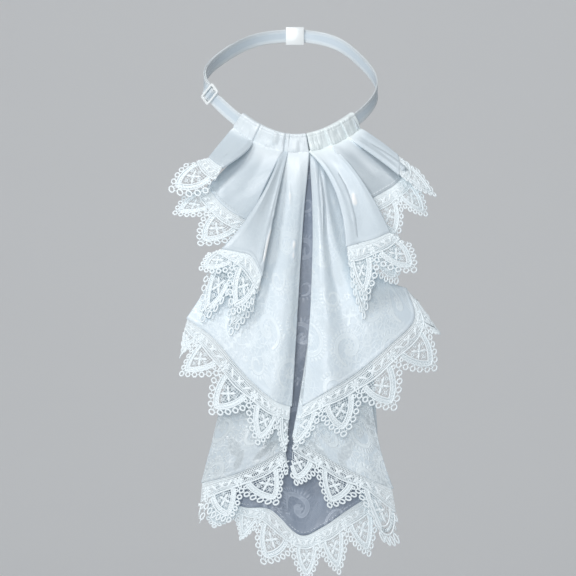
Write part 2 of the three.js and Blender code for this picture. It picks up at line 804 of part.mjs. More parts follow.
function toothDepth(place) {
  const away = Math.abs((place % 1) - 0.5) * 2;
  return LACE_VALLEY + (1 - LACE_VALLEY) * (1 - away) ** 0.75;
}

// Corners of a tooth's gaps: place along the tooth and depth, both as shares
const TOOTH_GAPS = [
  [[0.27, 0.45], [0.44, 0.58], [0.37, 0.72], [0.27, 0.6]],
  [[0.73, 0.6], [0.63, 0.72], [0.56, 0.58], [0.73, 0.45]],
  [[0.5, 0.66], [0.58, 0.78], [0.5, 0.88], [0.42, 0.78]],
];
const TOOTH_OUTLINE = [0, 0.12, 0.28, 0.42, 0.5, 0.58, 0.72, 0.88];

function laceTrim(name, rows, acrossCount, teeth, phase, setBack) {
  const places = [];
  for (let whole = 0; whole <= Math.ceil(teeth + phase); whole += 1) {
    for (const part of TOOTH_OUTLINE) {
      const place = whole + part;
      if (place > phase + 0.04 && place < phase + teeth - 0.04) {
        places.push(place);
      }
    }
  }
  const ends = [phase + teeth, ...places.reverse(), phase];
  const contour = [];
  for (let i = 0; i <= acrossCount; i += 1) {
    const across = i / acrossCount;
    contour.push(new THREE.Vector2(across, GAP / (column(rows, "reach", across) * LACE_WIDTH)));
  }
  for (const place of ends) {
    contour.push(new THREE.Vector2((place - phase) / teeth, toothDepth(place)));
  }
  const gaps = [];
  for (let whole = 0; whole <= Math.ceil(teeth + phase); whole += 1) {
    for (const gap of TOOTH_GAPS) {
      const corners = gap.map(([p, d]) => new THREE.Vector2((whole + p - phase) / teeth, d));
      const inside = corners.every((corner) => corner.x > 0.02 && corner.x < 0.98);
      if (inside) {
        gaps.push(corners);
      }
    }
  }
  const seen = (loop) =>
    loop.map(({ x, y }) => {
      const point = lacePoint(rows, x, y);
      return new THREE.Vector2(point.x, point.z);
    });
  if (THREE.ShapeUtils.isClockWise(seen(contour))) contour.reverse();
  for (const gap of gaps) {
    if (!THREE.ShapeUtils.isClockWise(seen(gap))) gap.reverse();
  }
  const faces = THREE.ShapeUtils.triangulateShape(seen(contour), gaps.map(seen));
  const flat = [...contour, ...gaps.flat()];
  const points = [];
  for (const side of [1, -1]) {
    for (const { x, y } of flat) {
      const facing = laceFacing(rows, x, y);
      points.push(lacePoint(rows, x, y).addScaledVector(facing, (side * LACE) / 2 - setBack));
    }
  }
  const count = flat.length;
  const triangles = [];
  for (const [a, b, c] of faces) {
    triangles.push([a, b, c], [count + a, count + c, count + b]);
  }
  let start = 0;
  for (const loop of [contour, ...gaps]) {
    for (let i = 0; i < loop.length; i += 1) {
      const a = start + i;
      const b = start + ((i + 1) % loop.length);
      quad(triangles, b, a, count + a, count + b);
    }
    start += loop.length;
  }
  return meshFrom(name, "lace", points, triangles);
}

// Pieces of the tiers. Columns: rows, grid across and down, teeth along the hem, where the first starts

const TIERS = [
  {
    name: "back_panel", colour: "shade", rows: BACK,
    across: 18, down: 16, teeth: 6.1, phase: 0.13,
  },
  {
    name: "left_centre_panel", colour: "satin", rows: LEFT_CENTRE,
    across: 16, down: 14, teeth: 4.44, phase: 0.37,
  },
  {
    name: "right_centre_panel", colour: "satin", rows: RIGHT_CENTRE,
    across: 15, down: 14, teeth: 4.5, phase: 0.37,
  },
  {
    name: "left_inner_pleat", colour: "satin", rows: LEFT_INNER,
    across: 9, down: 10, teeth: 2, phase: 0,
  },
  {
    name: "right_inner_pleat", colour: "satin", rows: RIGHT_INNER,
    across: 9, down: 10, teeth: 2, phase: 0,
  },
  {
    name: "left_middle_pleat", colour: "satin", rows: LEFT_MIDDLE,
    across: 9, down: 8, teeth: 2, phase: 0,
  },
  {
    name: "right_middle_pleat", colour: "satin", rows: RIGHT_MIDDLE,
    across: 9, down: 8, teeth: 2, phase: 0,
  },
  {
    name: "left_outer_pleat", colour: "satin", rows: LEFT_OUTER,
    across: 6, down: 6, teeth: 1, phase: 0,
  },
  {
    name: "right_outer_pleat", colour: "satin", rows: RIGHT_OUTER,
    across: 6, down: 6, teeth: 1, phase: 0,
  },
  {
    name: "lower_left_front", colour: "satin", rows: LOWER_LEFT,
    across: 12, down: 7, teeth: 2.4, phase: 0.8,
  },
  {
    name: "lower_right_front", colour: "satin", rows: LOWER_RIGHT,
    across: 12, down: 7, teeth: 2.65, phase: 0.3,
  },
];

// Second lace layer, sewn behind the hems of the two inner pleats
const UNDER_FALLS = {
  left: { fall: [-13, -20, -24, -34], reach: [1.2, 1.42, 1.42, 1.15], tl: [15, 16, 17, 16] },
  right: { fall: [5, 7, 20, 36], reach: [1.3, 1.3, 0.95, 0.7], tl: [15, 16, 16, 16] },
};

function underRows(rows, falls) {
  return rows.map((row, i) => ({ ...row, fall: falls.fall[i], reach: falls.reach[i], tl: falls.tl[i] }));
}

const jabot = new THREE.Group();
jabot.name = "jabot";
jabot.add(neckStrap(), strapReturn(), strapSlider(), backClasp());
jabot.add(heading("heading_left", HEADING_LEFT), heading("heading_right", HEADING_RIGHT));
for (const tier of TIERS) {
  jabot.add(clothWall(tier.name, tier.colour, tier.rows, tier.across, tier.down));
  jabot.add(laceTrim(`lace_${tier.name}`, tier.rows, tier.across, tier.teeth, tier.phase, 0));
}
const UNDER_SET_BACK = CLOTH + GAP;
const leftUnder = underRows(LEFT_INNER, UNDER_FALLS.left);
const rightUnder = underRows(RIGHT_INNER, UNDER_FALLS.right);
jabot.add(laceTrim("lace_left_inner_under", leftUnder, 9, 2, 0, UNDER_SET_BACK));
jabot.add(laceTrim("lace_right_inner_under", rightUnder, 9, 2, 0, UNDER_SET_BACK));

export default jabot;
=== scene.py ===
"""White satin jabot: pleated tiers with guipure lace hems on a ribbon neck strap."""
import math
from typing import NamedTuple

import bpy
import numpy as np
from bpy.props import FloatProperty, FloatVectorProperty, PointerProperty
from bpy.types import Operator, Panel, PropertyGroup
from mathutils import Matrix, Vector


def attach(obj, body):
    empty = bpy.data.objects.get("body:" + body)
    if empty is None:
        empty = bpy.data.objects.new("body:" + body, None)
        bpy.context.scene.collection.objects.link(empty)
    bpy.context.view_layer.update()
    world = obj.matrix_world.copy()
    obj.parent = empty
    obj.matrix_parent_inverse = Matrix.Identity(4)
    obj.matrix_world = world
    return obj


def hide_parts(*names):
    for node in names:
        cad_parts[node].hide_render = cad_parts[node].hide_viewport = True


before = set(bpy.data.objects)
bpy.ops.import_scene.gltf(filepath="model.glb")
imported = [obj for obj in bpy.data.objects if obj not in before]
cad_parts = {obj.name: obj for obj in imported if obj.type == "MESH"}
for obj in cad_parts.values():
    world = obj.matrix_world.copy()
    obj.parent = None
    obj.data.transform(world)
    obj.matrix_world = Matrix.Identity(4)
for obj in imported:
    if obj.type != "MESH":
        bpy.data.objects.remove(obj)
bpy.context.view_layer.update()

bl_info = {
    "name": "Satin Jabot",
    "version": (1, 0, 0),
    "blender": (4, 5, 0),
    "location": "View3D > Sidebar > Jabot",
    "description": "Builds a white satin jabot with guipure lace hems",
    "category": "Object",
}

MM = 0.001

# Neck loop, in millimetres and degrees from the front
NECK_HALF_WIDTH = 65.0
NECK_HALF_DEPTH = 60.0
LOOP_SIDE_HEIGHT = 2.0
LOOP_RISE = 38.0
LOOP_FRONT_DIP = 10.0
BACK_NARROWING, BACK_NARROWING_AT, BACK_NARROWING_SPREAD = 0.14, 125.0, 35.0
STAND_ASIDE, STAND_ASIDE_AT, STAND_ASIDE_SPREAD = 6.0, -98.0, 35.0
STAND_FORWARD, STAND_FORWARD_AT, STAND_FORWARD_SPREAD = 11.0, -66.0, 24.0
CORNER_FORWARD, CORNER_FORWARD_AT, CORNER_FORWARD_SPREAD = 16.0, -86.0, 18.0
LEFT_SIDE_RISE = 4.0
STRAP_WIDTH = 10.0
STRAP_THICKNESS = 0.8
GAP = 0.3
SLIDER_AT = -69.0
SLIDER_BAR = 1.4
SLIDER_SLOT = 2.6
SLIDER_THICKNESS = 1.4
SLOT_CLEARANCE = 0.4
RETURN_END = -130.0
CLASP_LENGTH = 14.0

# Heading
HEADING_HEIGHT = 13.0
HEADING_BACK = 1.6
HEADING_FRONT = 3.0
PLEAT_STEP = 1.3
NOTCH_AT = 7.9
NOTCH_HALF_GAP = 0.3
LEFT_PLEATS = ((NOTCH_AT - NOTCH_HALF_GAP, -6.9), (-6.9, -25.7), (-25.7, -40.0))
RIGHT_PLEATS = ((NOTCH_AT + NOTCH_HALF_GAP, 21.3), (21.3, 32.7), (32.7, 40.6), (40.6, 43.6))

# Tiers: spread and drop that the shares in the tables are of
CLOTH = 1.0
LACE_WIDTH = 43.0
LAYER_PITCH = 1.7
HALF_SPREAD = 100.0
DROP = 330.0
CHEST_REACH, CHEST_EASE, CHEST_ROUND, CHEST_START = 53.0, 80.0, 260.0, 10.0
SEAT_DOWN = 0.5

# Panels, one row a line of the cloth from top to hem, from the fold edge outward
COLUMNS = ("pin", "tuck", "mx", "mz", "ml", "hx", "hz", "hl", "fall", "reach", "tl")
LEFT_OUTER = (
    (-26, 2, -0.46, 0.038, 13, -0.63, 0.077, 26, -26, 1.0, 27),
    (-32.7, 1.6, -0.55, 0.022, 12, -0.68, 0.067, 25, -60, 0.95, 27),
    (-39.4, 1, -0.63, 0.013, 9, -0.73, 0.054, 21, -76, 0.84, 20),
)

LEFT_MIDDLE = (
    (-7.3, 1, -0.3, 0.105, 9, -0.43, 0.2, 12, -36, 0.8, 13),
    (-13.7, 1.2, -0.43, 0.112, 12, -0.58, 0.174, 18, -51, 0.83, 18),
    (-19.7, 1.2, -0.54, 0.1, 14, -0.675, 0.147, 20, -64, 0.8, 20),
    (-25.8, 1, -0.6, 0.076, 9, -0.74, 0.12, 16, -74, 0.75, 16),
)

LEFT_INNER = (
    (-4.2, 2, -0.24, 0.166, 14, -0.335, 0.322, 18, -15, 1.0, 19),
    (-5.2, 2, -0.275, 0.16, 15, -0.41, 0.278, 20, -27, 1.0, 20),
    (-6.2, 2, -0.315, 0.156, 17, -0.51, 0.268, 21, -58, 0.76, 21),
    (-7.2, 2, -0.355, 0.155, 18, -0.63, 0.262, 20, -76, 0.5, 20),
)

LEFT_CENTRE = (
    (7.3, 1, -0.055, 0.294, 5, -0.12, 0.614, 8, -4, 0.8, 12),
    (3.3, 0.8, -0.14, 0.294, 10.5, -0.26, 0.597, 13, -17, 0.84, 14),
    (-1.7, 0.5, -0.26, 0.267, 8, -0.475, 0.538, 10, -44, 0.92, 14),
    (-4.7, 0.2, -0.4, 0.25, 8, -0.69, 0.462, 13, -50, 0.86, 12),
    (-6.9, 0, -0.474, 0.217, 4, -0.885, 0.42, 8, -14, 0.55, 7),
)

RIGHT_OUTER = (
    (33, 2, 0.5, 0.047, 13, 0.685, 0.092, 26, 45, 0.75, 27),
    (38.3, 1.6, 0.512, 0.027, 11, 0.69, 0.07, 24, 50, 0.85, 26),
    (43.1, 1, 0.53, 0.012, 8, 0.68, 0.05, 20, 55, 0.82, 20),
)

RIGHT_MIDDLE = (
    (21.6, 1, 0.3, 0.08, 8, 0.45, 0.152, 12, 8, 0.88, 13),
    (25.3, 1.2, 0.42, 0.079, 10, 0.58, 0.13, 14, 22, 0.86, 15),
    (29.3, 1.2, 0.5, 0.066, 11, 0.66, 0.114, 17, 38, 0.8, 17),
    (32.8, 1, 0.54, 0.058, 8, 0.72, 0.096, 16, 52, 0.75, 16),
)

RIGHT_INNER = (
    (8.7, 2, 0.215, 0.128, 12, 0.296, 0.256, 17, 6, 1.0, 18),
    (12.8, 2, 0.29, 0.132, 13, 0.393, 0.247, 18, 12, 1.0, 19),
    (17.3, 2, 0.356, 0.121, 14, 0.5, 0.238, 20, 42, 0.92, 20),
    (21.4, 2, 0.407, 0.11, 14.5, 0.607, 0.224, 20, 64, 0.84, 20),
)

RIGHT_CENTRE = (
    (8.5, 0.9, 0.042, 0.294, 5, -0.03, 0.612, 8, 0, 0.82, 12),
    (11.3, 0.7, 0.115, 0.294, 10, 0.17, 0.576, 13, 7, 0.88, 14),
    (13.8, 0.5, 0.18, 0.294, 6.5, 0.37, 0.538, 10, 25, 0.93, 14),
    (16.3, 0.3, 0.25, 0.289, 8.5, 0.6, 0.48, 13, 38, 0.92, 13),
    (18.3, 0.2, 0.32, 0.278, 5, 0.79, 0.42, 9, 47, 0.8, 11),
    (20.3, 0, 0.365, 0.256, 4, 0.74, 0.352, 6, 41, 0.7, 6),
)

BACK = (
    (-5.7, -1, -0.52, 0.42, 1, -0.69, 0.814, 2, -25, 0.56, 3),
    (-1.7, -1, -0.36, 0.42, 2, -0.47, 0.839, 4, -20, 0.5, 5),
    (2.3, -1, -0.19, 0.42, 1.5, -0.27, 0.845, 3, -26, 0.86, 4),
    (6.8, -1, -0.03, 0.42, 1, -0.06, 0.901, 2, -5, 0.8, 3),
    (11.3, -1, 0.13, 0.42, 1.5, 0.11, 0.884, 3, 9, 0.9, 4),
    (15.3, -1, 0.3, 0.42, 2, 0.3, 0.845, 4, 14, 0.95, 5),
    (19.3, -1, 0.45, 0.42, 1, 0.51, 0.805, 2, 20, 0.88, 3),
)

LOWER_LEFT = (
    (0.43, 0, -0.15, 0.59, 5, -0.155, 0.708, 7, 8, 0.72, 9),
    (0.36, 0, -0.29, 0.595, 6, -0.333, 0.74, 8, 26, 0.76, 10),
    (0.25, 0, -0.45, 0.6, 6, -0.526, 0.765, 8, 18, 0.78, 10),
    (0.14, 0, -0.57, 0.61, 5, -0.66, 0.777, 8, 9, 0.8, 10),
    (0.03, 0, -0.65, 0.63, 5.5, -0.782, 0.786, 6, -6, 1.25, 7),
)

LOWER_RIGHT = (
    (0.57, 0, -0.035, 0.57, 5, -0.105, 0.684, 7, -5, 0.74, 9),
    (0.67, 0, 0.09, 0.58, 6, 0.08, 0.717, 8, -9, 0.76, 10),
    (0.75, 0, 0.23, 0.59, 6, 0.28, 0.751, 8, -14, 0.76, 10),
    (0.86, 0, 0.38, 0.61, 5, 0.467, 0.778, 8, 2, 0.8, 10),
    (0.97, 0, 0.49, 0.64, 5.5, 0.634, 0.799, 6, 10, 1.6, 7),
)

LEFT_UNDER_LACE = {"fall": (-13, -20, -24, -34), "reach": (1.2, 1.42, 1.42, 1.15), "tl": (15, 16, 17, 16)}
RIGHT_UNDER_LACE = {"fall": (5, 7, 20, 36), "reach": (1.3, 1.3, 0.95, 0.7), "tl": (15, 16, 16, 16)}


def smooth(low, high, value):
    """Soft step from 0 to 1 between two values."""
    share = np.clip((np.asarray(value, float) - low) / (high - low), 0, 1)
    return share * share * (3 - 2 * share)


def bump(value, at, spread):
    """Soft hill, 1 high, round one value."""
    away = (value - at) / spread
    return np.exp(-away * away)


def unit(vectors):
    return vectors / np.maximum(np.linalg.norm(vectors, axis=-1, keepdims=True), 1e-9)


def lengths_along(points):
    """Length run from the first of a line's points to each of them."""
    return np.concatenate([[0], np.cumsum(np.linalg.norm(np.diff(points, axis=0), axis=1))])


# Neck loop

def loop_point(degrees):
    degrees = np.asarray(degrees, float)
    turn = np.radians(degrees)
    front = np.maximum(0, np.cos(turn))
    left = np.maximum(0, -np.sin(turn))
    behind = bump(np.abs(degrees), BACK_NARROWING_AT, BACK_NARROWING_SPREAD)
    aside = STAND_ASIDE * bump(degrees, STAND_ASIDE_AT, STAND_ASIDE_SPREAD)
    forward = STAND_FORWARD * bump(degrees, STAND_FORWARD_AT, STAND_FORWARD_SPREAD)
    forward = forward + CORNER_FORWARD * bump(degrees, CORNER_FORWARD_AT, CORNER_FORWARD_SPREAD)
    x = NECK_HALF_WIDTH * np.sin(turn) * (1 - BACK_NARROWING * behind) - aside
    y = -NECK_HALF_DEPTH * np.cos(turn) - forward
    z = LOOP_SIDE_HEIGHT - LOOP_RISE * np.cos(turn) - LOOP_FRONT_DIP * front**4 + LEFT_SIDE_RISE * left**1.5
    return np.stack([x, y, z], -1)


def loop_frame(degrees):
    """Centre of the strap, and its ways along, outward and up."""
    degrees = np.asarray(degrees, float)
    centre = loop_point(degrees)
    along = unit(loop_point(degrees + 0.5) - loop_point(degrees - 0.5))
    out = unit(np.stack([along[..., 1], -along[..., 0], np.zeros_like(along[..., 0])], -1))
    return centre, along, out, unit(np.cross(out, along))


# Panels

def table(values, **changed):
    """Named columns of a panel's rows, with some of them changed."""
    rows = {name: np.array(column, float) for name, column in zip(COLUMNS, zip(*values))}
    rows.update({name: np.array(column, float) for name, column in changed.items()})
    return rows


def through(values, share):
    """Smooth run through a column of values, at shares from 0 to 1."""
    last = len(values) - 1
    place = np.clip(share, 0, 1) * last
    index = np.minimum(np.floor(place).astype(int), last - 1)
    t = place - index
    run = np.concatenate([[2 * values[0] - values[1]], values, [2 * values[-1] - values[-2]]])
    before, a, b, after = (run[index + step] for step in range(4))
    t2 = t * t
    t3 = t2 * t
    from_a = a * (2 * t3 - 3 * t2 + 1) + (b - before) / 2 * (t3 - 2 * t2 + t)
    from_b = b * (3 * t2 - 2 * t3) + (after - a) / 2 * (t3 - t2)
    return from_a + from_b


NOTCH = loop_point(NOTCH_AT)
TOP_Z = NOTCH[2] + HEADING_HEIGHT / 2


def chest_y(x, z):
    """Depth of the rounded surface that the panels lie over."""
    below = TOP_Z - CHEST_START - z
    return -NECK_HALF_DEPTH - CHEST_REACH * (1 - np.exp(-below / CHEST_EASE)) + x * x / (2 * CHEST_ROUND)


def panel_top(rows, across):
    """Top edge of a panel, seated on the back panel or pinned to the strap, and the way it faces."""
    if rows.get("seated"):
        seat = through(rows["pin"], across)
        halfway = np.full_like(seat, SEAT_DOWN)
        facing = panel_facing(BACK_ROWS, seat, halfway)
        return panel_point(BACK_ROWS, seat, halfway) + facing * (CLOTH + GAP), facing
    centre, _, out, up = loop_frame(through(rows["pin"], across))
    off = STRAP_THICKNESS / 2 + through(rows["tuck"], across) * LAYER_PITCH
    return centre + out * off[..., None] - up * (HEADING_HEIGHT / 2 + GAP), out


def panel_point(rows, across, down):
    top = panel_top(rows, across)[0]
    at_top = (1 - down) * (1 - 2 * down)
    at_middle = 4 * down * (1 - down)
    at_hem = down * (2 * down - 1)
    middle_x = NOTCH[0] + HALF_SPREAD * through(rows["mx"], across)
    middle_z = TOP_Z - DROP * through(rows["mz"], across)
    hem_x = NOTCH[0] + HALF_SPREAD * through(rows["hx"], across)
    hem_z = TOP_Z - DROP * through(rows["hz"], across)
    x = at_top * top[..., 0] + at_middle * middle_x + at_hem * hem_x
    z = at_top * top[..., 2] + at_middle * middle_z + at_hem * hem_z
    top_lift = chest_y(top[..., 0], top[..., 2]) - top[..., 1]
    lift = at_top * top_lift + at_middle * through(rows["ml"], across) + at_hem * through(rows["hl"], across)
    return np.stack([x, chest_y(x, z) - lift, z], -1)


def lace_point(rows, across, down):
    hem = panel_point(rows, across, np.ones_like(down))
    angle = np.radians(through(rows["fall"], across))
    reach = through(rows["reach"], across) * LACE_WIDTH * down
    x = hem[..., 0] + reach * np.sin(angle)
    z = hem[..., 2] - reach * np.cos(angle)
    lift = through(rows["hl"], across) * (1 - down) + through(rows["tl"], across) * down
    return np.stack([x, chest_y(x, z) - lift, z], -1)


def facing_of(surface, rows, across, down):
    step = 0.01
    a = np.clip(across, step, 1 - step)
    d = np.clip(down, step, 1 - step)
    side = surface(rows, a + step, d) - surface(rows, a - step, d)
    fall = surface(rows, a, d + step) - surface(rows, a, d - step)
    facing = unit(np.cross(side, fall))
    return np.where(facing[..., 1:2] > 0, -facing, facing)


def panel_facing(rows, across, down):
    own = facing_of(panel_point, rows, across, down)
    blend = np.clip(down / 0.15, 0, 1)[..., None]
    return unit(panel_top(rows, across)[1] * (1 - blend) + own * blend)


def lace_facing(rows, across, down):
    own = facing_of(lace_point, rows, across, down)
    hem = panel_facing(rows, across, np.ones_like(down))
    blend = np.clip(down / 0.3, 0, 1)[..., None]
    return unit(hem * (1 - blend) + own * blend)


BACK_ROWS = table(BACK)

# Soft folds of each panel. Columns: place across at the top and at the hem, half width (shares of the
# width), height in millimetres, and the stretch of the drop that it runs over
FOLDS = {
    "left_centre_panel": (
        (0.12, 0.11, 0.07, 1.0, 0.05, 0.95),
        (0.28, 0.27, 0.09, -0.8, 0.1, 0.85),
        (0.46, 0.4, 0.1, 1.0, 0.1, 0.9),
        (0.97, 0.97, 0.16, 2.2, 0.1, 1.1),
    ),
    "right_centre_panel": (
        (0.05, 0.05, 0.03, 0.6, 0.02, 0.95),
        (0.46, 0.4, 0.14, 1.3, 0.25, 0.9),
        (0.78, 0.72, 0.11, 1.3, 0.3, 0.95),
    ),
    "left_inner_pleat": (
        (0.86, 0.87, 0.08, 1.2, 0.05, 0.95),
        (0.5, 0.55, 0.2, -1.4, 0.05, 0.9),
        (0.14, 0.15, 0.08, 1.3, 0.03, 0.95),
    ),
    "right_inner_pleat": (
        (0.1, 0.1, 0.08, 1.3, 0.05, 0.95),
        (0.45, 0.5, 0.18, -1.6, 0.1, 0.95),
        (0.86, 0.86, 0.1, 1.2, 0.05, 0.95),
    ),
    "left_middle_pleat": ((0.3, 0.36, 0.2, -1.3, 0.05, 0.9), (0.82, 0.82, 0.12, 1.0, 0.05, 0.85)),
    "right_middle_pleat": ((0.5, 0.5, 0.25, -1.6, 0.05, 0.9),),
    "left_outer_pleat": ((0.12, 0.14, 0.1, 1.2, 0.05, 0.95), (0.6, 0.6, 0.2, -1.0, 0.05, 0.9)),
    "right_outer_pleat": ((0.12, 0.14, 0.1, 1.0, 0.05, 0.95), (0.5, 0.45, 0.18, -1.2, 0.05, 0.9)),
    "lower_left_front": ((0.3, 0.26, 0.1, 1.6, 0.1, 0.95), (0.62, 0.66, 0.12, 1.3, 0.1, 0.95)),
    "lower_right_front": ((0.3, 0.26, 0.1, 1.3, 0.1, 0.95), (0.7, 0.72, 0.12, 1.6, 0.1, 0.95)),
    "back_panel": ((0.36, 0.38, 0.08, 1.6, 0.5, 1.0), (0.55, 0.6, 0.08, -1.2, 0.5, 1.0)),
}
# Sharp, broken creases. Columns: x and z of the bends as seen from the front, half width and height
CREASES = {
    "left_centre_panel": (
        (((-4.6, -76), (-3.4, -95)), 1.3, 0.8),
        (((-0.4, -115), (-1.6, -134)), 1.3, 0.8),
        (((-24, -134), (-27, -152), (-25, -170)), 1.5, 0.6),
    ),
    "left_inner_pleat": ((((-10.5, -82), (-16.2, -104.7), (-19.8, -117), (-24.3, -139)), 1.2, 1.3),),
    "right_centre_panel": ((((26.5, -80), (29.5, -93)), 1.8, 0.7),),
    "right_inner_pleat": ((((42.5, -82), (46.5, -103)), 2.2, 0.7),),
}
CREASE_SEED = 83
FOLD_HEIGHT = 0.6


class PanelPlan(NamedTuple):
    """A panel's rows, its grid, the teeth along its hem, where the first starts, and how crumpled it is"""

    rows: tuple
    columns: int
    lines: int
    teeth: float
    phase: float
    crumple: float


PANELS = {
    "back_panel": PanelPlan(BACK, 70, 150, 6.1, 0.13, 0.8),
    "left_centre_panel": PanelPlan(LEFT_CENTRE, 120, 190, 4.44, 0.37, 1.0),
    "right_centre_panel": PanelPlan(RIGHT_CENTRE, 120, 190, 4.5, 0.37, 1.0),
    "left_inner_pleat": PanelPlan(LEFT_INNER, 70, 110, 2, 0, 0.8),
    "right_inner_pleat": PanelPlan(RIGHT_INNER, 80, 100, 2, 0, 0.8),
    "left_middle_pleat": PanelPlan(LEFT_MIDDLE, 70, 80, 2, 0, 1.0),
    "right_middle_pleat": PanelPlan(RIGHT_MIDDLE, 70, 70, 2, 0, 0.9),
    "left_outer_pleat": PanelPlan(LEFT_OUTER, 50, 50, 1, 0, 0.8),
    "right_outer_pleat": PanelPlan(RIGHT_OUTER, 50, 50, 1, 0, 0.8),
    "lower_left_front": PanelPlan(LOWER_LEFT, 90, 100, 2.4, 0.8, 0.8),
    "lower_right_front": PanelPlan(LOWER_RIGHT, 90, 100, 2.65, 0.3, 0.8),
}
UNDER_LACES = {
    "left_inner_pleat": ("lace_left_inner_under", LEFT_UNDER_LACE),
    "right_inner_pleat": ("lace_right_inner_under", RIGHT_UNDER_LACE),
}


# Points a side of the random grid under the soft noise
NOISE_GRID = 64


def lattice_noise(seed):
    """Soft random heights from -1 to 1 over a plane, a new one at each whole place."""
    values = np.random.default_rng(seed).uniform(-1, 1, (NOISE_GRID, NOISE_GRID))

    def value_at(column, row):
        return values[row % NOISE_GRID, column % NOISE_GRID]

    def noise(x, y):
        column, row = np.floor(x).astype(int), np.floor(y).astype(int)
        s, t = smooth(0, 1, x - column), smooth(0, 1, y - row)
        upper = value_at(column, row) * (1 - s) + value_at(column + 1, row) * s
        lower = value_at(column, row + 1) * (1 - s) + value_at(column + 1, row + 1) * s
        return upper * (1 - t) + lower * t

    return noise


def panel_rows(name, changed=None):
    rows = table(PANELS[name].rows, **(changed or {}))
    rows["seated"] = name.startswith("lower_")
    return rows


# Crumpling of the satin. Columns: height, size across and size down, in millimetres
DENTS = {"broad": (0.8, 24, 34), "middle": (0.3, 7, 17), "fine": (0.13, 4, 5.5), "gather": (0.1, 5, 60)}
WARP, WARP_SIZE = 3.0, 30
FIRST_SEED, SEED_STEP = 11, 20
SETTLED_FROM = 0.12


def relief(name, rows, across, down):
    """Heights of the folds and of the crumples off the panel's smooth form, in millimetres."""
    height = np.zeros_like(across)
    for top, hem, half, lift, start, end in FOLDS[name]:
        at = top + (hem - top) * down
        window = smooth(start, start + 0.2, down) * (1 - 0.7 * smooth(end - 0.15, end + 0.1, down))
        height += lift * window * bump(across, at, half * (0.7 + 0.6 * down))
    seed = FIRST_SEED + list(PANELS).index(name)
    noises = {kind: lattice_noise(seed + SEED_STEP * k) for k, kind in enumerate(DENTS)}
    ends = through(rows["hx"], np.array([0.0, 1.0]))
    u = across * (HALF_SPREAD * abs(ends[1] - ends[0])) + 40
    v = DROP * down * through(rows["hz"], across)
    warped = u + WARP * noises["broad"](u / WARP_SIZE + 5, v / WARP_SIZE)

    def dent(kind, place):
        high, size_across, size_down = DENTS[kind]
        return high * noises[kind](place / size_across, v / size_down)

    crumple = dent("broad", u) + dent("middle", warped) + dent("fine", warped)
    pleats = dent("gather", warped) * (1 - smooth(0.1, 0.7, down))
    settled = smooth(0.0, SETTLED_FROM, down)
    crumpled = (crumple * settled + pleats * (0.35 + 0.65 * settled)) * PANELS[name].crumple
    return height * FOLD_HEIGHT, crumpled


def crease_relief(name, points):
    """Height of the sharp creases over a panel's points in millimetres, and how sharp they are, 0 to 1, where
    the satin paints glints.
    """
    seen = points[..., ::2]
    height, sharp = np.zeros(seen.shape[:2]), np.zeros(seen.shape[:2])
    for bends, half, high in CREASES.get(name, ()):
        nearest = np.full(seen.shape[:2], 99.0)
        for start, end in zip(np.array(bends[:-1], float), np.array(bends[1:], float)):
            run = end - start
            share = np.clip(((seen - start) @ run) / (run @ run), 0, 1)[..., None]
            nearest = np.minimum(nearest, np.linalg.norm(seen - start - run * share, axis=-1))
        drop = (seen[..., 1] - bends[0][1]) / (bends[-1][1] - bends[0][1])
        broken = 0.6 + 0.6 * lattice_noise(CREASE_SEED)(seen[..., 0] / 9 + 30, -seen[..., 1] / 4.5)
        fade = smooth(-0.1, 0.15, drop) * (1 - smooth(0.8, 1.05, drop))
        ridge = np.clip(broken, 0.1, 1.1) * fade * np.exp(-((nearest / half) ** 2))
        height += high * ridge
        sharp = np.maximum(sharp, smooth(0.3, 0.85, ridge))
    return height, sharp


# Meshes

def mesh_piece(name, vertices, quads):
    """Object from vertices in millimetres and four-cornered faces, with its faces turned outward."""
    points = np.asarray(vertices, float) * MM
    faces = np.asarray(quads, int)
    a, b, c, d = (points[faces[:, k]] for k in range(4))
    volume = (np.cross(b, c) * a).sum() + (np.cross(c, d) * a).sum()
    if volume < 0:
        faces = faces[:, ::-1]
    mesh = bpy.data.meshes.new(name)
    mesh.vertices.add(len(points))
    mesh.vertices.foreach_set("co", points.ravel())
    mesh.loops.add(faces.size)
    mesh.loops.foreach_set("vertex_index", faces.ravel())
    mesh.polygons.add(len(faces))
    mesh.polygons.foreach_set("loop_start", np.arange(0, faces.size, 4))
    mesh.polygons.foreach_set("use_smooth", np.ones(len(faces), bool))
    mesh.update(calc_edges=True)
    mesh.validate()
    piece = bpy.data.objects.new(name, mesh)
    bpy.context.scene.collection.objects.link(piece)
    return piece


def per_vertex(piece, name, values):
    layer = piece.data.attributes.new(name, "FLOAT", "POINT")
    layer.data.foreach_set("value", np.asarray(values, np.float32).ravel())


def flat_map(piece, flat):
    """UV map from flat cloth places in millimetres, ten millimetres a unit."""
    corners = np.empty(len(piece.data.loops), int)
    piece.data.loops.foreach_get("vertex_index", corners)
    layer = piece.data.uv_layers.new(name="flat")
    layer.data.foreach_set("uv", (np.asarray(flat, float)[corners] / 10).ravel())


def grid_faces(index):
    """Faces between the rows and columns of an index array."""
    corners = [index[:-1, :-1], index[:-1, 1:], index[1:, 1:], index[1:, :-1]]
    return np.stack(corners, -1).reshape(-1, 4)


def wall_from_grid(middle, facing, thickness):
    """Vertices and faces of a closed wall round a grid of points."""
    rows, columns = middle.shape[:2]
    offset = facing * (thickness / 2)
    vertices = np.concatenate([(middle + offset).reshape(-1, 3), (middle - offset).reshape(-1, 3)])
    index = np.arange(rows * columns).reshape(rows, columns)
    behind = index + rows * columns
    rim = np.concatenate([index[0, :-1], index[:-1, -1], index[-1, :0:-1], index[:0:-1, 0]])
    after = np.roll(rim, -1)
    sides = np.stack([after, rim, rim + rows * columns, after + rows * columns], -1)
    return vertices, np.concatenate([grid_faces(index), grid_faces(behind)[:, ::-1], sides])


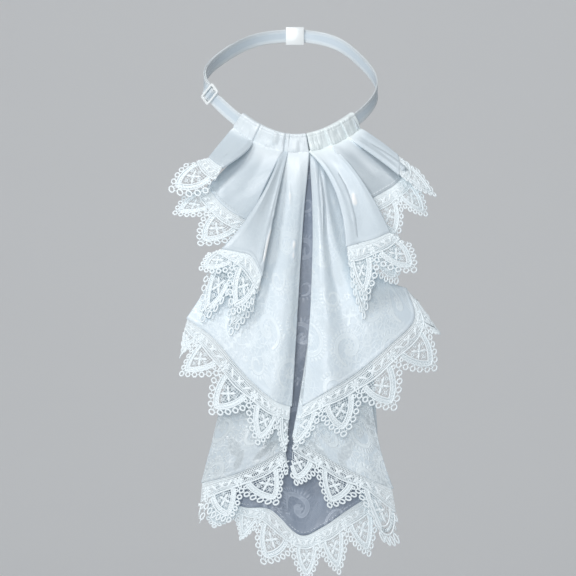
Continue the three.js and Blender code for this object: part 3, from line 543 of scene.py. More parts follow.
def band_faces(here, closed=False):
    """Faces between the rings of vertices in the rows of an index array."""
    following = np.roll(here, -1, -2)
    if not closed:
        here, following = here[..., :-1, :], following[..., :-1, :]
    return np.stack([here, following, np.roll(following, -1, -1), np.roll(here, -1, -1)], -1).reshape(-1, 4)


def tube_faces(here, closed):
    """Faces of tubes whose rings are the rows of an index array; the ends of open ones are capped."""
    faces = [band_faces(here, closed)]
    if not closed:
        for end, order in ((here[..., 0, :], 1), (here[..., -1, :], -1)):
            for k in range(1, here.shape[-1] - 2, 2):
                faces.append(end[..., [0, k, k + 1, k + 2]].reshape(-1, 4)[:, ::order])
    return np.concatenate(faces)


def flat_grid(along, around):
    """Flat places of a grid whose rows lie along and whose columns lie around a piece."""
    return np.stack(np.meshgrid(along, around, indexing="ij"), -1).reshape(-1, 2)


def grid_normals(grid):
    """Ways that an open grid's points face, all to the front."""
    normal = unit(np.cross(np.gradient(grid, axis=1), np.gradient(grid, axis=0)))
    return np.where(normal[..., 1:2] > 0, -normal, normal)


# Cloth panels

# Radius of a rolled edge and how far the cloth runs back under it
ROLLS = {"fold": (0.85, 8.0), "side": (0.45, 3.0)}
EDGES = {
    "left_inner_pleat": ("side", "fold"),
    "right_inner_pleat": ("fold", "fold"),
    "right_centre_panel": ("fold", "fold"),
}
# Columns close to each side edge and lines close to the hem, as shares of the width and of the drop
EDGE_COLUMNS = np.array([0.0, 0.004, 0.01])
HEM_LINES = [0.992, 0.997, 1.0]
ROLL_STEPS = 5
RETURN_STEPS = 3
RETURN_SHARE = 0.4
SATIN_THICKNESS = 0.5
HEM_RIDGE, HEM_RIDGE_UP, HEM_RIDGE_SPREAD = 0.35, 1.5, 0.8

# Pleats whose cloth goes on up over the heading, and the share of the drop over which it settles back
HEADED = {
    "left_outer_pleat": 0.5,
    "left_middle_pleat": 0.34,
    "left_centre_panel": 0.24,
    "right_inner_pleat": 0.34,
    "right_middle_pleat": 0.34,
    "right_outer_pleat": 0.5,
}
# Cloth over the heading, from the back of the top edge down the front. Columns: height above the
# middle of the strap, share of the front reach, and what is added to it
HEADING_PROFILE = (
    (5.6, 0, -1.9), (6.6, 0, -1.7), (7.0, 0, -0.8), (7.1, 0.4, 0), (6.95, 0.75, 0.1), (6.5, 1, 0.1),
    (5.9, 1, 0.42), (5.3, 1, 0.5), (4.8, 1, 0.46), (4.45, 1, 0.3), (4.1, 1, 0.44), (3.4, 1, 0.52),
    (2.2, 1, 0.55), (1.0, 1, 0.55), (-0.4, 1, 0.52), (-1.8, 1, 0.46), (-3.2, 1, 0.4), (-4.4, 1, 0.34),
    (-5.3, 1, 0.28), (-5.9, 1, 0.2), (-6.3, 1, 0.12),
)
HEADING_DENTS = 0.62
HEADING_SEEDS = (71, 72)
NOTCH_OPEN = 0.55
SEAM_DIP = -0.08
# A pleat that comes out from under the heading: rows above its own top, up and outward
TUCKED_PROFILE = ((1.6, -1.8), (1.0, -1.0), (0.5, -0.35))


def heading_front(share):
    """How far a pleat of the heading stands forward, from its fold to its far side."""
    return HEADING_FRONT + PLEAT_STEP * (1 - share) ** 1.5


def cloth_over_heading(rows, across):
    """Lines of a pleat's cloth that lie over the heading, above its own top."""
    pins = through(rows["pin"], across)
    pins = pins + NOTCH_OPEN * np.sign(pins - NOTCH_AT) * bump(pins, NOTCH_AT, 2.0)
    centre, _, out, up = loop_frame(pins)
    front = heading_front(across)
    soft, small = (lattice_noise(seed) for seed in HEADING_SEEDS)
    lines = []
    for height, share, added in HEADING_PROFILE:
        dent = soft(pins / 3.4 + 30, np.full_like(across, height / 4.5 + 9))
        crease = small(pins / 0.9 + 32, np.full_like(across, height / 9 + 3))
        reach = front * share + added + (dent + 0.5 * crease) * HEADING_DENTS * (share == 1)
        lines.append(centre + out * reach[:, None] + up * height)
    return np.stack(lines)


def cloth_under_heading(rows, across):
    """Lines of a pleat's cloth that lie tucked under the heading."""
    centre, _, out, up = loop_frame(through(rows["pin"], across))
    off = STRAP_THICKNESS / 2 + through(rows["tuck"], across) * LAYER_PITCH
    low = -(HEADING_HEIGHT / 2 + GAP)
    lines = [centre + out * (off + back)[:, None] + up * (low + high) for high, back in TUCKED_PROFILE]
    return np.stack(lines)


def roll_edge(middle, side, radius, back):
    """Columns that turn the cloth under along one side edge."""
    edge, inner = (middle[:, 0], middle[:, 2]) if side == 0 else (middle[:, -1], middle[:, -3])
    width = np.linalg.norm(middle[:, 0] - middle[:, -1], axis=1)
    back = np.minimum(back, RETURN_SHARE * width)[:, None]
    fall = unit(np.gradient(edge, axis=0))
    outward = unit(edge - inner)
    outward = unit(outward - fall * (outward * fall).sum(-1, keepdims=True))
    facing = np.cross(outward, fall) if side else np.cross(fall, outward)
    facing = facing * np.sign(-facing[len(facing) // 2, 1])
    columns = []
    for step in range(1, ROLL_STEPS + 1):
        turn = math.pi * step / ROLL_STEPS
        columns.append(edge + radius * (outward * math.sin(turn) + facing * (math.cos(turn) - 1)))
    for step in range(1, RETURN_STEPS + 1):
        columns.append(columns[ROLL_STEPS - 1] - outward * back * step / RETURN_STEPS)
    added = np.stack(columns, 1)
    return np.concatenate([added[:, ::-1], middle], 1) if side == 0 else np.concatenate([middle, added], 1)


# Room behind the tops of the lower fronts for the back panel's own folds
ROOM_BEHIND = 2.2


def cloth_grid(name):
    """Middle surface of a panel's cloth, its drop shares, and how many rows lie above the panel."""
    rows = panel_rows(name)
    plan = PANELS[name]
    inner = np.linspace(0.02, 0.98, plan.columns - 5)
    across = np.concatenate([EDGE_COLUMNS, inner, 1 - EDGE_COLUMNS[::-1]])
    down = np.concatenate([np.linspace(0, 0.985, plan.lines - 2), HEM_LINES])
    a, d = np.meshgrid(across, down)
    points = panel_point(rows, a, d)
    width = np.linalg.norm(points[:, -1] - points[:, 0], axis=1)[:, None]
    fullness = np.clip(width / width[-1], 0.15, 1)
    folds, crumples = relief(name, rows, a, d)
    height = folds * fullness**0.6 + crumples * fullness
    from_hem = np.linalg.norm(points - points[-1], axis=-1)
    height += HEM_RIDGE * bump(from_hem, HEM_RIDGE_UP, HEM_RIDGE_SPREAD)
    height += crease_relief(name, points)[0]
    if name == "back_panel":
        height -= ROOM_BEHIND * smooth(0.2, 0.45, d) * (1 - smooth(0.72, 0.92, d))
    if name in HEADED:
        off = STRAP_THICKNESS / 2 + through(rows["tuck"], across) * LAYER_PITCH
        forward = heading_front(across) - SEAM_DIP - off
        height += forward[None] * (1 - smooth(0.02, HEADED[name], d))
    grid = points + panel_facing(rows, a, d) * height[..., None]
    above = 0
    if name in HEADED or name == "left_inner_pleat":
        lines = cloth_over_heading if name in HEADED else cloth_under_heading
        over = lines(rows, across)
        above = len(over)
        grid = np.concatenate([over, grid])
        d = np.concatenate([np.zeros((above, len(across))), d])
    return d, grid, above


def rolled(grid, name):
    """A panel's grid with its two side edges turned under."""
    for side, kind in enumerate(EDGES.get(name, ("fold", "side"))):
        grid = roll_edge(grid, side, *ROLLS[kind])
    return grid


def turned_normals(grid):
    """Normals of a rolled grid: the turned-under cloth faces back."""
    normal = unit(np.cross(np.gradient(grid, axis=1), np.gradient(grid, axis=0)))
    middle = normal[-10, normal.shape[1] // 2]
    return -normal if middle[1] > 0 else normal


def flat_places(grid):
    """Place of each grid point on the flat cloth, in millimetres."""
    steps = np.linalg.norm(np.diff(grid, axis=1), axis=-1)
    run = np.concatenate([np.zeros((grid.shape[0], 1)), np.cumsum(steps, 1)], 1)
    run -= run[:, grid.shape[1] // 2][:, None]
    falls = np.linalg.norm(np.diff(grid[:, grid.shape[1] // 2], axis=0), axis=-1)
    fall = np.concatenate([[0], np.cumsum(falls)])
    return np.stack([run, np.broadcast_to(fall[:, None], run.shape)], -1)


def cut_size(grid):
    """Flat width, length and area in metres of the cloth in a grid."""
    width = np.linalg.norm(np.diff(grid, axis=1), axis=-1).sum(1).max() * MM
    length = np.linalg.norm(np.diff(grid, axis=0), axis=-1).sum(0).max() * MM
    cross = np.cross(grid[:-1, 1:] - grid[:-1, :-1], grid[1:, :-1] - grid[:-1, :-1])
    area = np.linalg.norm(cross, axis=-1).sum() * MM * MM
    return (round(width, 4), round(length, 4)), round(min(area, width * length), 5)


# Woven figure: scrolls with a comb along the outside, leaves and flowers, in a repeat of the flat cloth
REPEAT = (54.0, 64.0)
# Columns: centre x, y, first radius, last radius, first turn, last turn in degrees, band half width
SCROLLS = (
    (15, 15, 11.5, 4, -60, 330, 1.7),
    (42, 29, 12.5, 4, 130, 520, 1.9),
    (16, 48, 11, 3.5, 80, -300, 1.6),
    (44, 57, 7.5, 2.6, 220, -150, 1.2),
)
SCROLL_STEPS = 70
COMB_FROM, COMB_TO, COMB_SHARE = 0.5, 3.0, 0.5
# Reach of the figure past the edge of its repeat, and the distance given to places that it never nears
NEARBY = 8
FAR = 9.0
# Columns: centre x, y, half length, half width, angle in degrees
LEAVES = (
    (30, 9, 11, 4.4, 55),
    (3, 33, 11, 4.2, -60),
    (31, 44, 11, 4.2, 25),
    (53, 8, 8, 3.6, -35),
    (29, 61, 9, 3.6, -15),
    (52, 44, 8, 3.4, 70),
)
FLOWER_EYE = 0.9
# Columns: centre x, y, radius, petals
FLOWERS = ((15, 15, 3.4, 5), (42, 29, 3.8, 6), (16, 48, 3.2, 5), (29, 26, 3.0, 5), (1, 60, 3.4, 6))


def scroll_points():
    """Points along the scrolls. Columns: x, y, band half width, share, length run, centre x, centre y."""
    runs = []
    for x, y, first, last, start, end, half in SCROLLS:
        share = np.linspace(0, 1, SCROLL_STEPS)
        turn = np.radians(start + (end - start) * share)
        radius = first + (last - first) * share**0.8
        width = half * (0.55 + 0.45 * np.sin(np.pi * share))
        place = np.stack([x + radius * np.cos(turn), y + radius * np.sin(turn)], -1)
        run = lengths_along(place)
        middle = np.broadcast_to([x, y], place.shape)
        runs.append(np.column_stack([place, width, share, run, middle]))
    return np.concatenate(runs)


def repeated(place, x, y):
    """Offsets of places from the nearest repeat of a point."""
    return (place - np.array([x, y]) + np.array(REPEAT) / 2) % REPEAT - np.array(REPEAT) / 2


def woven_figure(flat):
    """At flat places: distance outside the figure, hatch and comb from 0 to 1, length run along the comb."""
    place = np.mod(flat.reshape(-1, 2), REPEAT)
    points = scroll_points()
    nearest = np.full(len(place), FAR)
    comb, run = np.zeros(len(place)), np.zeros(len(place))
    for shift_x in (-1, 0, 1):
        for shift_y in (-1, 0, 1):
            shift = np.array([shift_x * REPEAT[0], shift_y * REPEAT[1]])
            shifted = points[:, :2] + shift
            close = points[((shifted > -NEARBY) & (shifted < np.array(REPEAT) + NEARBY)).all(1)]
            if not len(close):
                continue
            away = np.linalg.norm(place[:, None] - close[None, :, :2] - shift, axis=-1) - close[None, :, 2]
            which = away.argmin(1)
            away, point = away.min(1), close[which]
            outside = np.linalg.norm(place - shift - point[:, 5:], axis=1)
            outside = outside > np.linalg.norm(point[:, :2] - point[:, 5:], axis=1)
            strip = smooth(COMB_FROM - 0.3, COMB_FROM + 0.3, away)
            strip = strip * (1 - smooth(COMB_TO - 0.4, COMB_TO + 0.4, away))
            strip = strip * outside * (1 - smooth(COMB_SHARE - 0.05, COMB_SHARE + 0.05, point[:, 3]))
            run = np.where(away < nearest, point[:, 4], run)
            comb = np.where(away < nearest, strip, comb)
            nearest = np.minimum(nearest, away)
    hatch = np.zeros(len(place))
    for x, y, half_length, half_width, degrees in LEAVES:
        turn = math.radians(degrees)
        delta = repeated(place, x, y)
        along = (delta[:, 0] * math.cos(turn) + delta[:, 1] * math.sin(turn)) / half_length
        side = (-delta[:, 0] * math.sin(turn) + delta[:, 1] * math.cos(turn)) / half_width
        belly = np.maximum(1 - along**2, 0) ** 0.8
        leaf = (1 - smooth(belly - 0.15, belly + 0.1, np.abs(side))) * (np.abs(along) < 1)
        hatch = np.maximum(hatch, leaf * smooth(0.0, 1.0, nearest))
    for x, y, radius, petals in FLOWERS:
        delta = repeated(place, x, y)
        away = np.linalg.norm(delta, axis=1)
        edge = radius * (0.78 + 0.22 * np.cos(petals * np.arctan2(delta[:, 1], delta[:, 0])))
        nearest = np.minimum(nearest, np.maximum(away - edge, FLOWER_EYE - away))
        hatch = hatch * smooth(edge, edge + 0.8, away)
    return nearest, hatch, comb * smooth(0, 0.4, nearest), run


# How strongly the woven figure shows on each panel, from the top down to the hem
FIGURED = {
    "back_panel": (0.6, 1.0),
    "left_centre_panel": (0.3, 1.0),
    "right_centre_panel": (0.3, 1.0),
    "lower_left_front": (2.0, 2.4),
    "lower_right_front": (2.0, 2.4),
}
PLAINER = (0.0, 0.25)
# Painted shade: how bright each panel's satin is drawn, at the top and at the hem, for the shading that each
# panel has where it lies
PAINTED_PANEL_SHADE = {
    "left_outer_pleat": (0.88, 0.88),
    "left_middle_pleat": (0.9, 0.88),
    "left_inner_pleat": (0.85, 0.86),
    "left_centre_panel": (0.96, 1.0),
    "right_centre_panel": (0.86, 1.0),
    "right_inner_pleat": (1.0, 0.92),
    "right_middle_pleat": (0.74, 0.7),
    "right_outer_pleat": (0.88, 0.84),
    "lower_left_front": (0.77, 0.82),
    "lower_right_front": (0.77, 0.98),
}
# Painted light: how bright the cloth over the heading is drawn, on the left half and on the right half
HEADING_PAINTED_LIGHT = {"left": 0.99, "right": 1.1}
# Size of the patches of netting, how strong it is, and how far the figure is moved over the cloth
FIGURE_PATCH = 21.0
PATCH_SEED = 57
NETTING = {"back_panel": 0.35}
FIGURE_SHIFTS = {"back_panel": (11, -11)}
# Shares of the width from the middle between which the back panel's painted shade gives way to the pale
# satin, where it shows at the sides
SHADE_FADE_AT_SIDES = (0.29, 0.38)


def cloth_marks(name, full, flat, down, above):
    """Values at each point of a panel's cloth, which its material reads."""
    lines, columns = full.shape[:2]
    drop = np.repeat(down, columns)
    top, hem = FIGURED.get(name, PLAINER)
    strength = top + (hem - top) * smooth(0.15, 0.6, drop)
    outside, hatch, comb, run = woven_figure(flat - np.array(FIGURE_SHIFTS.get(name, (0, 0))))
    patch = lattice_noise(PATCH_SEED)(flat[:, 0] / FIGURE_PATCH + 30, flat[:, 1] / FIGURE_PATCH + 5)
    # Painted light: the cloth over the heading is brightened, fading out down the top 0.3 of the drop
    heading = np.maximum(np.arange(lines) < above, 1 - smooth(0.0, 0.3, down)) * (name in HEADED)
    heading = np.repeat(heading, columns)
    # Painted light and shade: each panel's set brightness, and the heading's, scale the satin's colour
    top, hem = PAINTED_PANEL_SHADE.get(name, (1.0, 1.0))
    painted_light_factor = top + (hem - top) * smooth(0.1, 0.8, drop)
    painted_light_factor += (HEADING_PAINTED_LIGHT.get(name.split("_")[0], 1.0) - painted_light_factor) * heading
    from_middle = np.abs(np.linspace(-0.5, 0.5, columns))
    return {
        "outside": outside,
        "figured": strength,
        "hatch": hatch * strength,
        "comb": comb * strength,
        "run": run,
        # How sharp the creases are: the material paints glints on them and makes them smoother
        "crease": crease_relief(name, full)[1].ravel(),
        "patch": smooth(-0.5, 0.3, patch) * strength * NETTING.get(name, 1.0),
        "heading": heading,
        "dimmed": 1 - painted_light_factor,
        "side": np.tile(smooth(*SHADE_FADE_AT_SIDES, from_middle), lines),
    }


def make_panel(name, material):
    """One panel's cloth, with its flat size and area."""
    down, grid, above = cloth_grid(name)
    full = rolled(grid, name)
    vertices, quads = wall_from_grid(full, turned_normals(full), SATIN_THICKNESS)
    piece = mesh_piece(f"{name}_cloth", vertices, quads)
    flat = flat_places(full).reshape(-1, 2)
    flat_map(piece, np.tile(flat, (2, 1)))
    for mark, values in cloth_marks(name, full, flat, down[:, 0], above).items():
        per_vertex(piece, mark, np.tile(values, 2))
    piece.data.materials.append(material)
    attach(piece, "root")
    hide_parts(name)
    return (piece, *cut_size(full))


# Lace: one flat tooth, drawn in threads, laid along every hem

TOOTH_PITCH = 35.0
HALF_PITCH = TOOTH_PITCH / 2
RING_RADIUS = 1.85
RINGS_A_SIDE = 5
# Sections of thread. Columns: half width, half height, corners, height off the net
THREADS = {
    "ring": (0.66, 0.46, 6, 0.0),
    "cord": (0.62, 0.52, 6, 0.25),
    "band": (1.5, 0.26, 6, 0.0),
    "leaf": (1.15, 0.42, 6, 0.15),
    "fine": (0.36, 0.3, 4, 0.2),
    "net": (0.21, 0.18, 4, 0.0),
    "mesh": (0.33, 0.22, 4, 0.0),
}
LEAF_TAPER = (0.2, 0.75, 1.0, 0.95, 0.65, 0.15)


def bezier(first, pull, last, count):
    t = np.linspace(0, 1, count)[:, None]
    first, pull, last = (np.array(p, float) for p in (first, pull, last))
    return first * (1 - t) ** 2 + 2 * pull * t * (1 - t) + last * t * t


def ring(x, y, radius, count):
    turn = np.linspace(0, 2 * math.pi, count, endpoint=False)
    return np.stack([x + radius * np.cos(turn), y + radius * np.sin(turn)], -1)


def line(first, last, count):
    return np.linspace(np.array(first, float), np.array(last, float), count)


def mirrored(points):
    return points * np.array([-1.0, 1.0])


def both_sides(half):
    """A line from the left base to the tip and down to the right base."""
    return np.concatenate([mirrored(half)[::-1], half[1:]])


def even_places(points, count):
    """Points at even lengths along a line."""
    run = lengths_along(points)
    wanted = np.linspace(0, run[-1], count)
    return np.stack([np.interp(wanted, run, points[:, k]) for k in range(2)], -1)


def offset_line(points, distance):
    """A line beside another one."""
    along = np.gradient(points, axis=0)
    along /= np.linalg.norm(along, axis=1)[:, None]
    return points + distance * np.stack([-along[:, 1], along[:, 0]], -1)


# Outlines of half a tooth, from the tip to the valley: the rings, the band and the opening inside it
CHAIN = bezier((0, 40.2), (8.5, 33.0), (HALF_PITCH, 16.6), 60)
ARCH = bezier((0, 34.4), (8.4, 26.5), (11.2, 12.4), 18)
OPENING = bezier((0, 30.4), (5.8, 24.2), (8.8, 12.4), 60)
BAND_REACH = 1.75
ZIGZAG_POINTS, ZIGZAG_SWING = 46, 0.95
FOOT_SPREAD = 0.9
NET_PITCH = 2.0
MESH_PITCH = 1.25
# Heights below the seam: the filling's foot and middle, and the scrolls of the band along the seam
FILLING_FOOT = 12.6
FILLING_MIDDLE = 20.4
SEAM_SCROLLS = 7.2


def stroke(kind, points, closed=False, taper=None):
    return kind, points, closed, taper


def both(kind, points):
    return [stroke(kind, points), stroke(kind, mirrored(points))]


def leaves_round(x, y, turns, first, last):
    """Leaves that point away from a middle, at turns in degrees."""
    middle = np.array([x, y])
    leaves = []
    for turn in np.radians(turns):
        away = np.array([math.cos(turn), math.sin(turn)])
        leaves.append(stroke("leaf", line(middle + away * first, middle + away * last, 6), taper=LEAF_TAPER))
    return leaves


def edge_rings(rings):
    """The picot rings along both sides of the tooth."""
    strokes = [stroke("ring", ring(*rings[0], RING_RADIUS + 0.1, 14), True)]
    for x, y in rings[1:]:
        strokes.append(stroke("ring", ring(x, y, RING_RADIUS, 12), True))
        if x < HALF_PITCH - 0.1:
            strokes.append(stroke("ring", ring(-x, y, RING_RADIUS, 12), True))
    return strokes


def zigzag(arch):
    """A thread that swings from side to side of the band."""
    points = even_places(arch, ZIGZAG_POINTS)
    swing = np.where(np.arange(ZIGZAG_POINTS) % 2, ZIGZAG_SWING, -ZIGZAG_SWING)[:, None]
    along = unit(np.gradient(points, axis=0))
    return stroke("fine", points + swing * np.stack([-along[:, 1], along[:, 0]], -1))


def ring_legs(rings, cord):
    """Threads from ring to ring, and two from each ring to the cord."""
    strokes = []
    for before, after in zip(rings[:-1], rings[1:]):
        link = unit(after - before) * RING_RADIUS
        strokes += both("fine", line(before + link, after - link, 3))
    for k, middle in enumerate(rings[:-1]):
        foot = cord[np.argmin(np.linalg.norm(cord - middle, axis=1))]
        toward = unit(foot - middle)
        for spread in (-FOOT_SPREAD, FOOT_SPREAD):
            side = np.array([toward[1], -toward[0]]) * spread
            leg = line(middle + toward * RING_RADIUS + side * 0.6, foot + side, 3)
            strokes += both("fine", leg) if k else [stroke("fine", leg)]
    return strokes


def filling():
    """Net, crossed leaves and small rings inside the band."""
    strokes = []
    for x in np.arange(-8.0, 8.1, NET_PITCH):
        top = np.interp(abs(x), OPENING[:, 0], OPENING[:, 1])
        strokes.append(stroke("net", line((x, FILLING_FOOT), (x, top), 6)))
    for y in np.arange(14.4, 29, NET_PITCH):
        half = np.interp(-y, -OPENING[:, 1], OPENING[:, 0])
        strokes.append(stroke("net", line((-half, y), (half, y), 6)))
    strokes += leaves_round(0, FILLING_MIDDLE, (45, 135, 225, 315), 1.0, 6.4)
    strokes.append(stroke("ring", ring(0, FILLING_MIDDLE, 1.0, 8), True))
    for x, y in ((0, 26.6), (0, 14.6), (5.6, 18.6), (-5.6, 18.6)):
        strokes.append(stroke("fine", ring(x, y, 1.1, 8), True))
    return strokes


def valley():
    """Small rings and net between two teeth."""
    middles = ((13.6, 15.2), (-13.6, 15.2), (HALF_PITCH, 12.6))
    strokes = [stroke("cord", ring(x, y, 1.25, 9), True) for x, y in middles]
    for x in (12.2, 14.8):
        strokes += both("net", line((x, 12.2), (x + 0.6, 19.0), 4))
    return strokes


def seam_band():
    """Net, crossed waves, flowers and leaves along the seam."""
    across = np.linspace(-HALF_PITCH, HALF_PITCH, 25)
    turn = across * 2 * math.pi / TOOTH_PITCH
    wave = 1.9 * np.sin(2 * turn)
    strokes = [
        stroke("cord", np.stack([across, 11.9 + 0.5 * np.cos(turn)], -1)),
        stroke("fine", np.stack([across, SEAM_SCROLLS + wave], -1)),
        stroke("fine", np.stack([across, SEAM_SCROLLS - wave], -1)),
    ]
    for x in np.arange(-HALF_PITCH + MESH_PITCH / 2, HALF_PITCH, MESH_PITCH):
        strokes.append(stroke("mesh", line((x, -0.6), (x, 11.8), 6)))
    for y in (0.6, 2.2, 3.8, 5.4, 8.9, 10.4):
        strokes.append(stroke("mesh", np.stack([across, np.full(25, y)], -1)))
    strokes.append(stroke("ring", ring(HALF_PITCH, SEAM_SCROLLS, 1.0, 9), True))
    strokes += leaves_round(HALF_PITCH, SEAM_SCROLLS, range(0, 360, 60), 1.5, 4.4)
    for x, lean in ((-8.5, 1), (8.5, -1), (0, 1), (0, -1)):
        leaf = bezier((x - 3.4 * lean, 4.2), (x, 6.2), (x + 2.6 * lean, 10.0), 6)
        strokes.append(stroke("leaf", leaf, taper=LEAF_TAPER))
    return strokes


def tooth_strokes():
    """Threads of one tooth as (kind, flat points, closed, taper)."""
    rings = even_places(CHAIN, RINGS_A_SIDE + 1)
    arch = both_sides(ARCH)
    cords = [offset_line(arch, BAND_REACH), offset_line(arch, -BAND_REACH)]
    outer, inner = sorted(cords, key=lambda cord: -cord[len(cord) // 2, 1])
    band = [stroke("band", arch), stroke("cord", outer), stroke("cord", inner), zigzag(arch)]
    return edge_rings(rings) + band + ring_legs(rings, outer) + filling() + valley() + seam_band()


def thread_mesh(points, facing, closed, section, taper):
    """Vertices and faces of a batch of threads, each swept along its own points."""
    batch, count = points.shape[:2]
    half_width, half_height, corners = section
    if closed:
        along = np.roll(points, -1, 1) - np.roll(points, 1, 1)
    else:
        along = np.gradient(points, axis=1)
    side = unit(np.cross(facing, unit(along)))
    wide = (np.ones(count) if taper is None else np.array(taper))[None, :, None]
    round_thread = []
    for turn in np.arange(corners) * 2 * math.pi / corners:
        across = side * (math.cos(turn) * half_width) * wide
        round_thread.append(points + across + facing * (math.sin(turn) * half_height) * wide**0.5)
    vertices = np.stack(round_thread, 2).reshape(-1, 3)
    here = np.arange(len(vertices)).reshape(batch, count, corners)
    return vertices, tube_faces(here, closed)


# Degrees that a hem lace leans to the side, where it hangs softer than the panel's plain solid
HEM_LACES = {"right_centre_panel": {"fall": (-18, 2, 25, 38, 47, 41)}}
LACE_SET_BACK = 0.2
LACE_WAVE = 0.9
LACE_END = 0.004


def lace_surface(name, rows, across, down, place, set_back):
    """Points of the softly waved lace, and the way that they face."""
    facing = lace_facing(rows, across, np.clip(down, 0, 1))
    hem = sum(relief(name, rows, np.clip(across, 0, 1), np.ones_like(down)))
    wave = LACE_WAVE * np.sin(2 * math.pi * (place + 0.2)) * smooth(0.1, 0.8, down)
    height = hem * (1 - 0.6 * np.clip(down, 0, 1)) + wave - set_back
    return lace_point(rows, across, down) + facing * height[..., None], facing


def inside_runs(inside):
    """Stretches of points that lie on the trim."""
    edges = np.flatnonzero(np.diff(np.concatenate([[0], inside.astype(int), [0]])))
    return [(a, b) for a, b in zip(edges[::2], edges[1::2]) if b - a >= 2]


def make_lace(name, piece_name, node, material, changed=None, set_back=LACE_SET_BACK):
    """One hem's lace, its tooth repeated along the hem. A panel's rows may be changed for it."""
    rows = panel_rows(name, changed)
    teeth, phase = PANELS[name].teeth, PANELS[name].phase
    batches = {}
    for kind, flat, closed, taper in tooth_strokes():
        for whole in range(-1, math.ceil(teeth + phase) + 1):
            place = whole + 0.5 + flat[:, 0] / TOOTH_PITCH
            across = (place - phase) / teeth
            inside = (across > LACE_END) & (across < 1 - LACE_END)
            if closed or taper is not None:
                runs = [(0, len(flat))] if inside.all() else []
            else:
                runs = inside_runs(inside)
            for a, b in runs:
                key = (kind, b - a, closed, taper)
                batches.setdefault(key, []).append((across[a:b], flat[a:b, 1] / LACE_WIDTH, place[a:b]))
    vertices, faces, start = [], [], 0
    for (kind, _, closed, taper), members in batches.items():
        across, down, place = (np.stack([m[k] for m in members]) for k in range(3))
        *section, off = THREADS[kind]
        points, facing = lace_surface(name, rows, across, down, place, set_back - off)
        threads, thread_faces = thread_mesh(points, facing, closed, section, taper)
        vertices.append(threads)
        faces.append(thread_faces + start)
        start += len(threads)
    piece = mesh_piece(piece_name, np.concatenate(vertices), np.concatenate(faces))
    piece.data.materials.append(material)
    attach(piece, "root")
    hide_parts(node)
    return piece


# Hem stitches

STITCH_PITCH = 2.6
STITCH_LENGTH = 1.8
STITCH_UP = 2.2
STITCH_SECTION = (0.2, 0.16, 4)
STITCH_TAPER = (0.4, 1.0, 1.0, 0.4)
STITCH_LIFT = SATIN_THICKNESS / 2 + 0.02


def along_line(wanted, run, points):
    """Points at wanted lengths along a line in space."""
    return np.stack([np.interp(wanted, run, points[:, k]) for k in range(3)], -1)


def make_stitches(material):
    """A row of running stitches above every hem."""
    points, facings = [], []
    for name in PANELS:
        _, grid, _ = cloth_grid(name)
        fall = unit(grid[-1] - grid[-6])
        hem = grid[-1] - fall * STITCH_UP
        run = lengths_along(hem)
        normals = grid_normals(grid)[-4]
        for start in np.arange(1.0, run[-1] - STITCH_LENGTH, STITCH_PITCH):
            along = np.linspace(start, start + STITCH_LENGTH, len(STITCH_TAPER))
            up = unit(along_line(along, run, normals))
            points.append(along_line(along, run, hem) + up * STITCH_LIFT)
            facings.append(up)
    vertices, faces = thread_mesh(np.stack(points), np.stack(facings), False, STITCH_SECTION, STITCH_TAPER)
    piece = mesh_piece("hem_stitches", vertices, faces)
    piece.data.materials.append(material)
    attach(piece, "root")
    return piece


# Heading

HEADING_STEP = 0.8
# Shares of a pleat close to its fold, and how much of its front reach it has there
FOLD_SHARES = (0.0, 0.006, 0.02, 0.05)
FOLD_EASE = (0.62, 0.86, 0.96, 1.0)
PLEATS_APART = 0.15
# Section of the casing, from the back foot round the front to the back. Columns: share of the
# front or back reach, share of the half height
CASING = (
    (-1.0, -0.86), (-0.7, -1.0), (0.2, -1.0), (0.72, -0.97), (0.93, -0.84), (1.0, -0.62), (1.05, -0.3),
    (1.05, 0.05), (1.0, 0.36), (0.9, 0.56), (0.83, 0.66), (0.88, 0.76), (0.82, 0.9), (0.6, 1.0),
    (0.25, 1.03), (-0.3, 1.0), (-0.85, 0.9), (-1.0, 0.7),
)
# Section of the sleeve inside the casing, and its corner that each point of the casing joins at the ends
SLEEVE = ((-1, -1), (1, -1), (1, 0), (1, 1), (-1, 1), (-1, 0))
SLEEVE_CORNERS = [0, 0, 0, 1, 1, 1, 2, 2, 2, 3, 3, 3, 3, 4, 4, 4, 5, 5]
# Soft dents of the casing's front. Columns: height, size along in degrees, size up in millimetres, seed place
CASING_DENTS = ((0.3, 3.2, 4, (40, 9)), (0.16, 1.3, 9, (20, 30)))
CASING_SEED = 7
# Flat places that the weave of the casing and of its lining is laid out over, in millimetres
CASING_FLAT, CASING_FLAT_ROUND, LINING_FLAT_ROUND = 60, (0, 40), (50, 80)


def heading_rings(pleats):
    """Rings of the casing and of the sleeve inside it that the strap runs through."""
    section = np.array(CASING)
    slot = (STRAP_THICKNESS / 2 + SLOT_CLEARANCE, STRAP_WIDTH / 2 + SLOT_CLEARANCE)
    sleeve = np.array(SLEEVE, float) * np.array(slot)
    soft = lattice_noise(CASING_SEED)
    high = section[:, 1] * HEADING_HEIGHT / 2
    outers, inners = [], []
    for fold, far in pleats:
        count = max(4, round(abs(far - fold) / HEADING_STEP))
        shares = np.concatenate([FOLD_SHARES, np.linspace(0.1, 1, count)])
        eases = np.concatenate([FOLD_EASE, np.ones(count)])
        for share, ease in zip(shares, eases):
            at = fold + (far - fold) * share + np.sign(far - fold) * PLEATS_APART
            centre, _, out, up = loop_frame(at)
            reach = section[:, 0] * np.where(section[:, 0] > 0, heading_front(share) * ease, HEADING_BACK)
            for lift, along, size_up, (x, y) in CASING_DENTS:
                reach = reach + lift * soft(at / along + x, high / size_up + y) * (section[:, 0] > 0.8)
            outers.append(centre + reach[:, None] * out + high[:, None] * up)
            inners.append(centre + sleeve[:, :1] * out + sleeve[:, 1:] * up)
    return np.array(outers), np.array(inners)


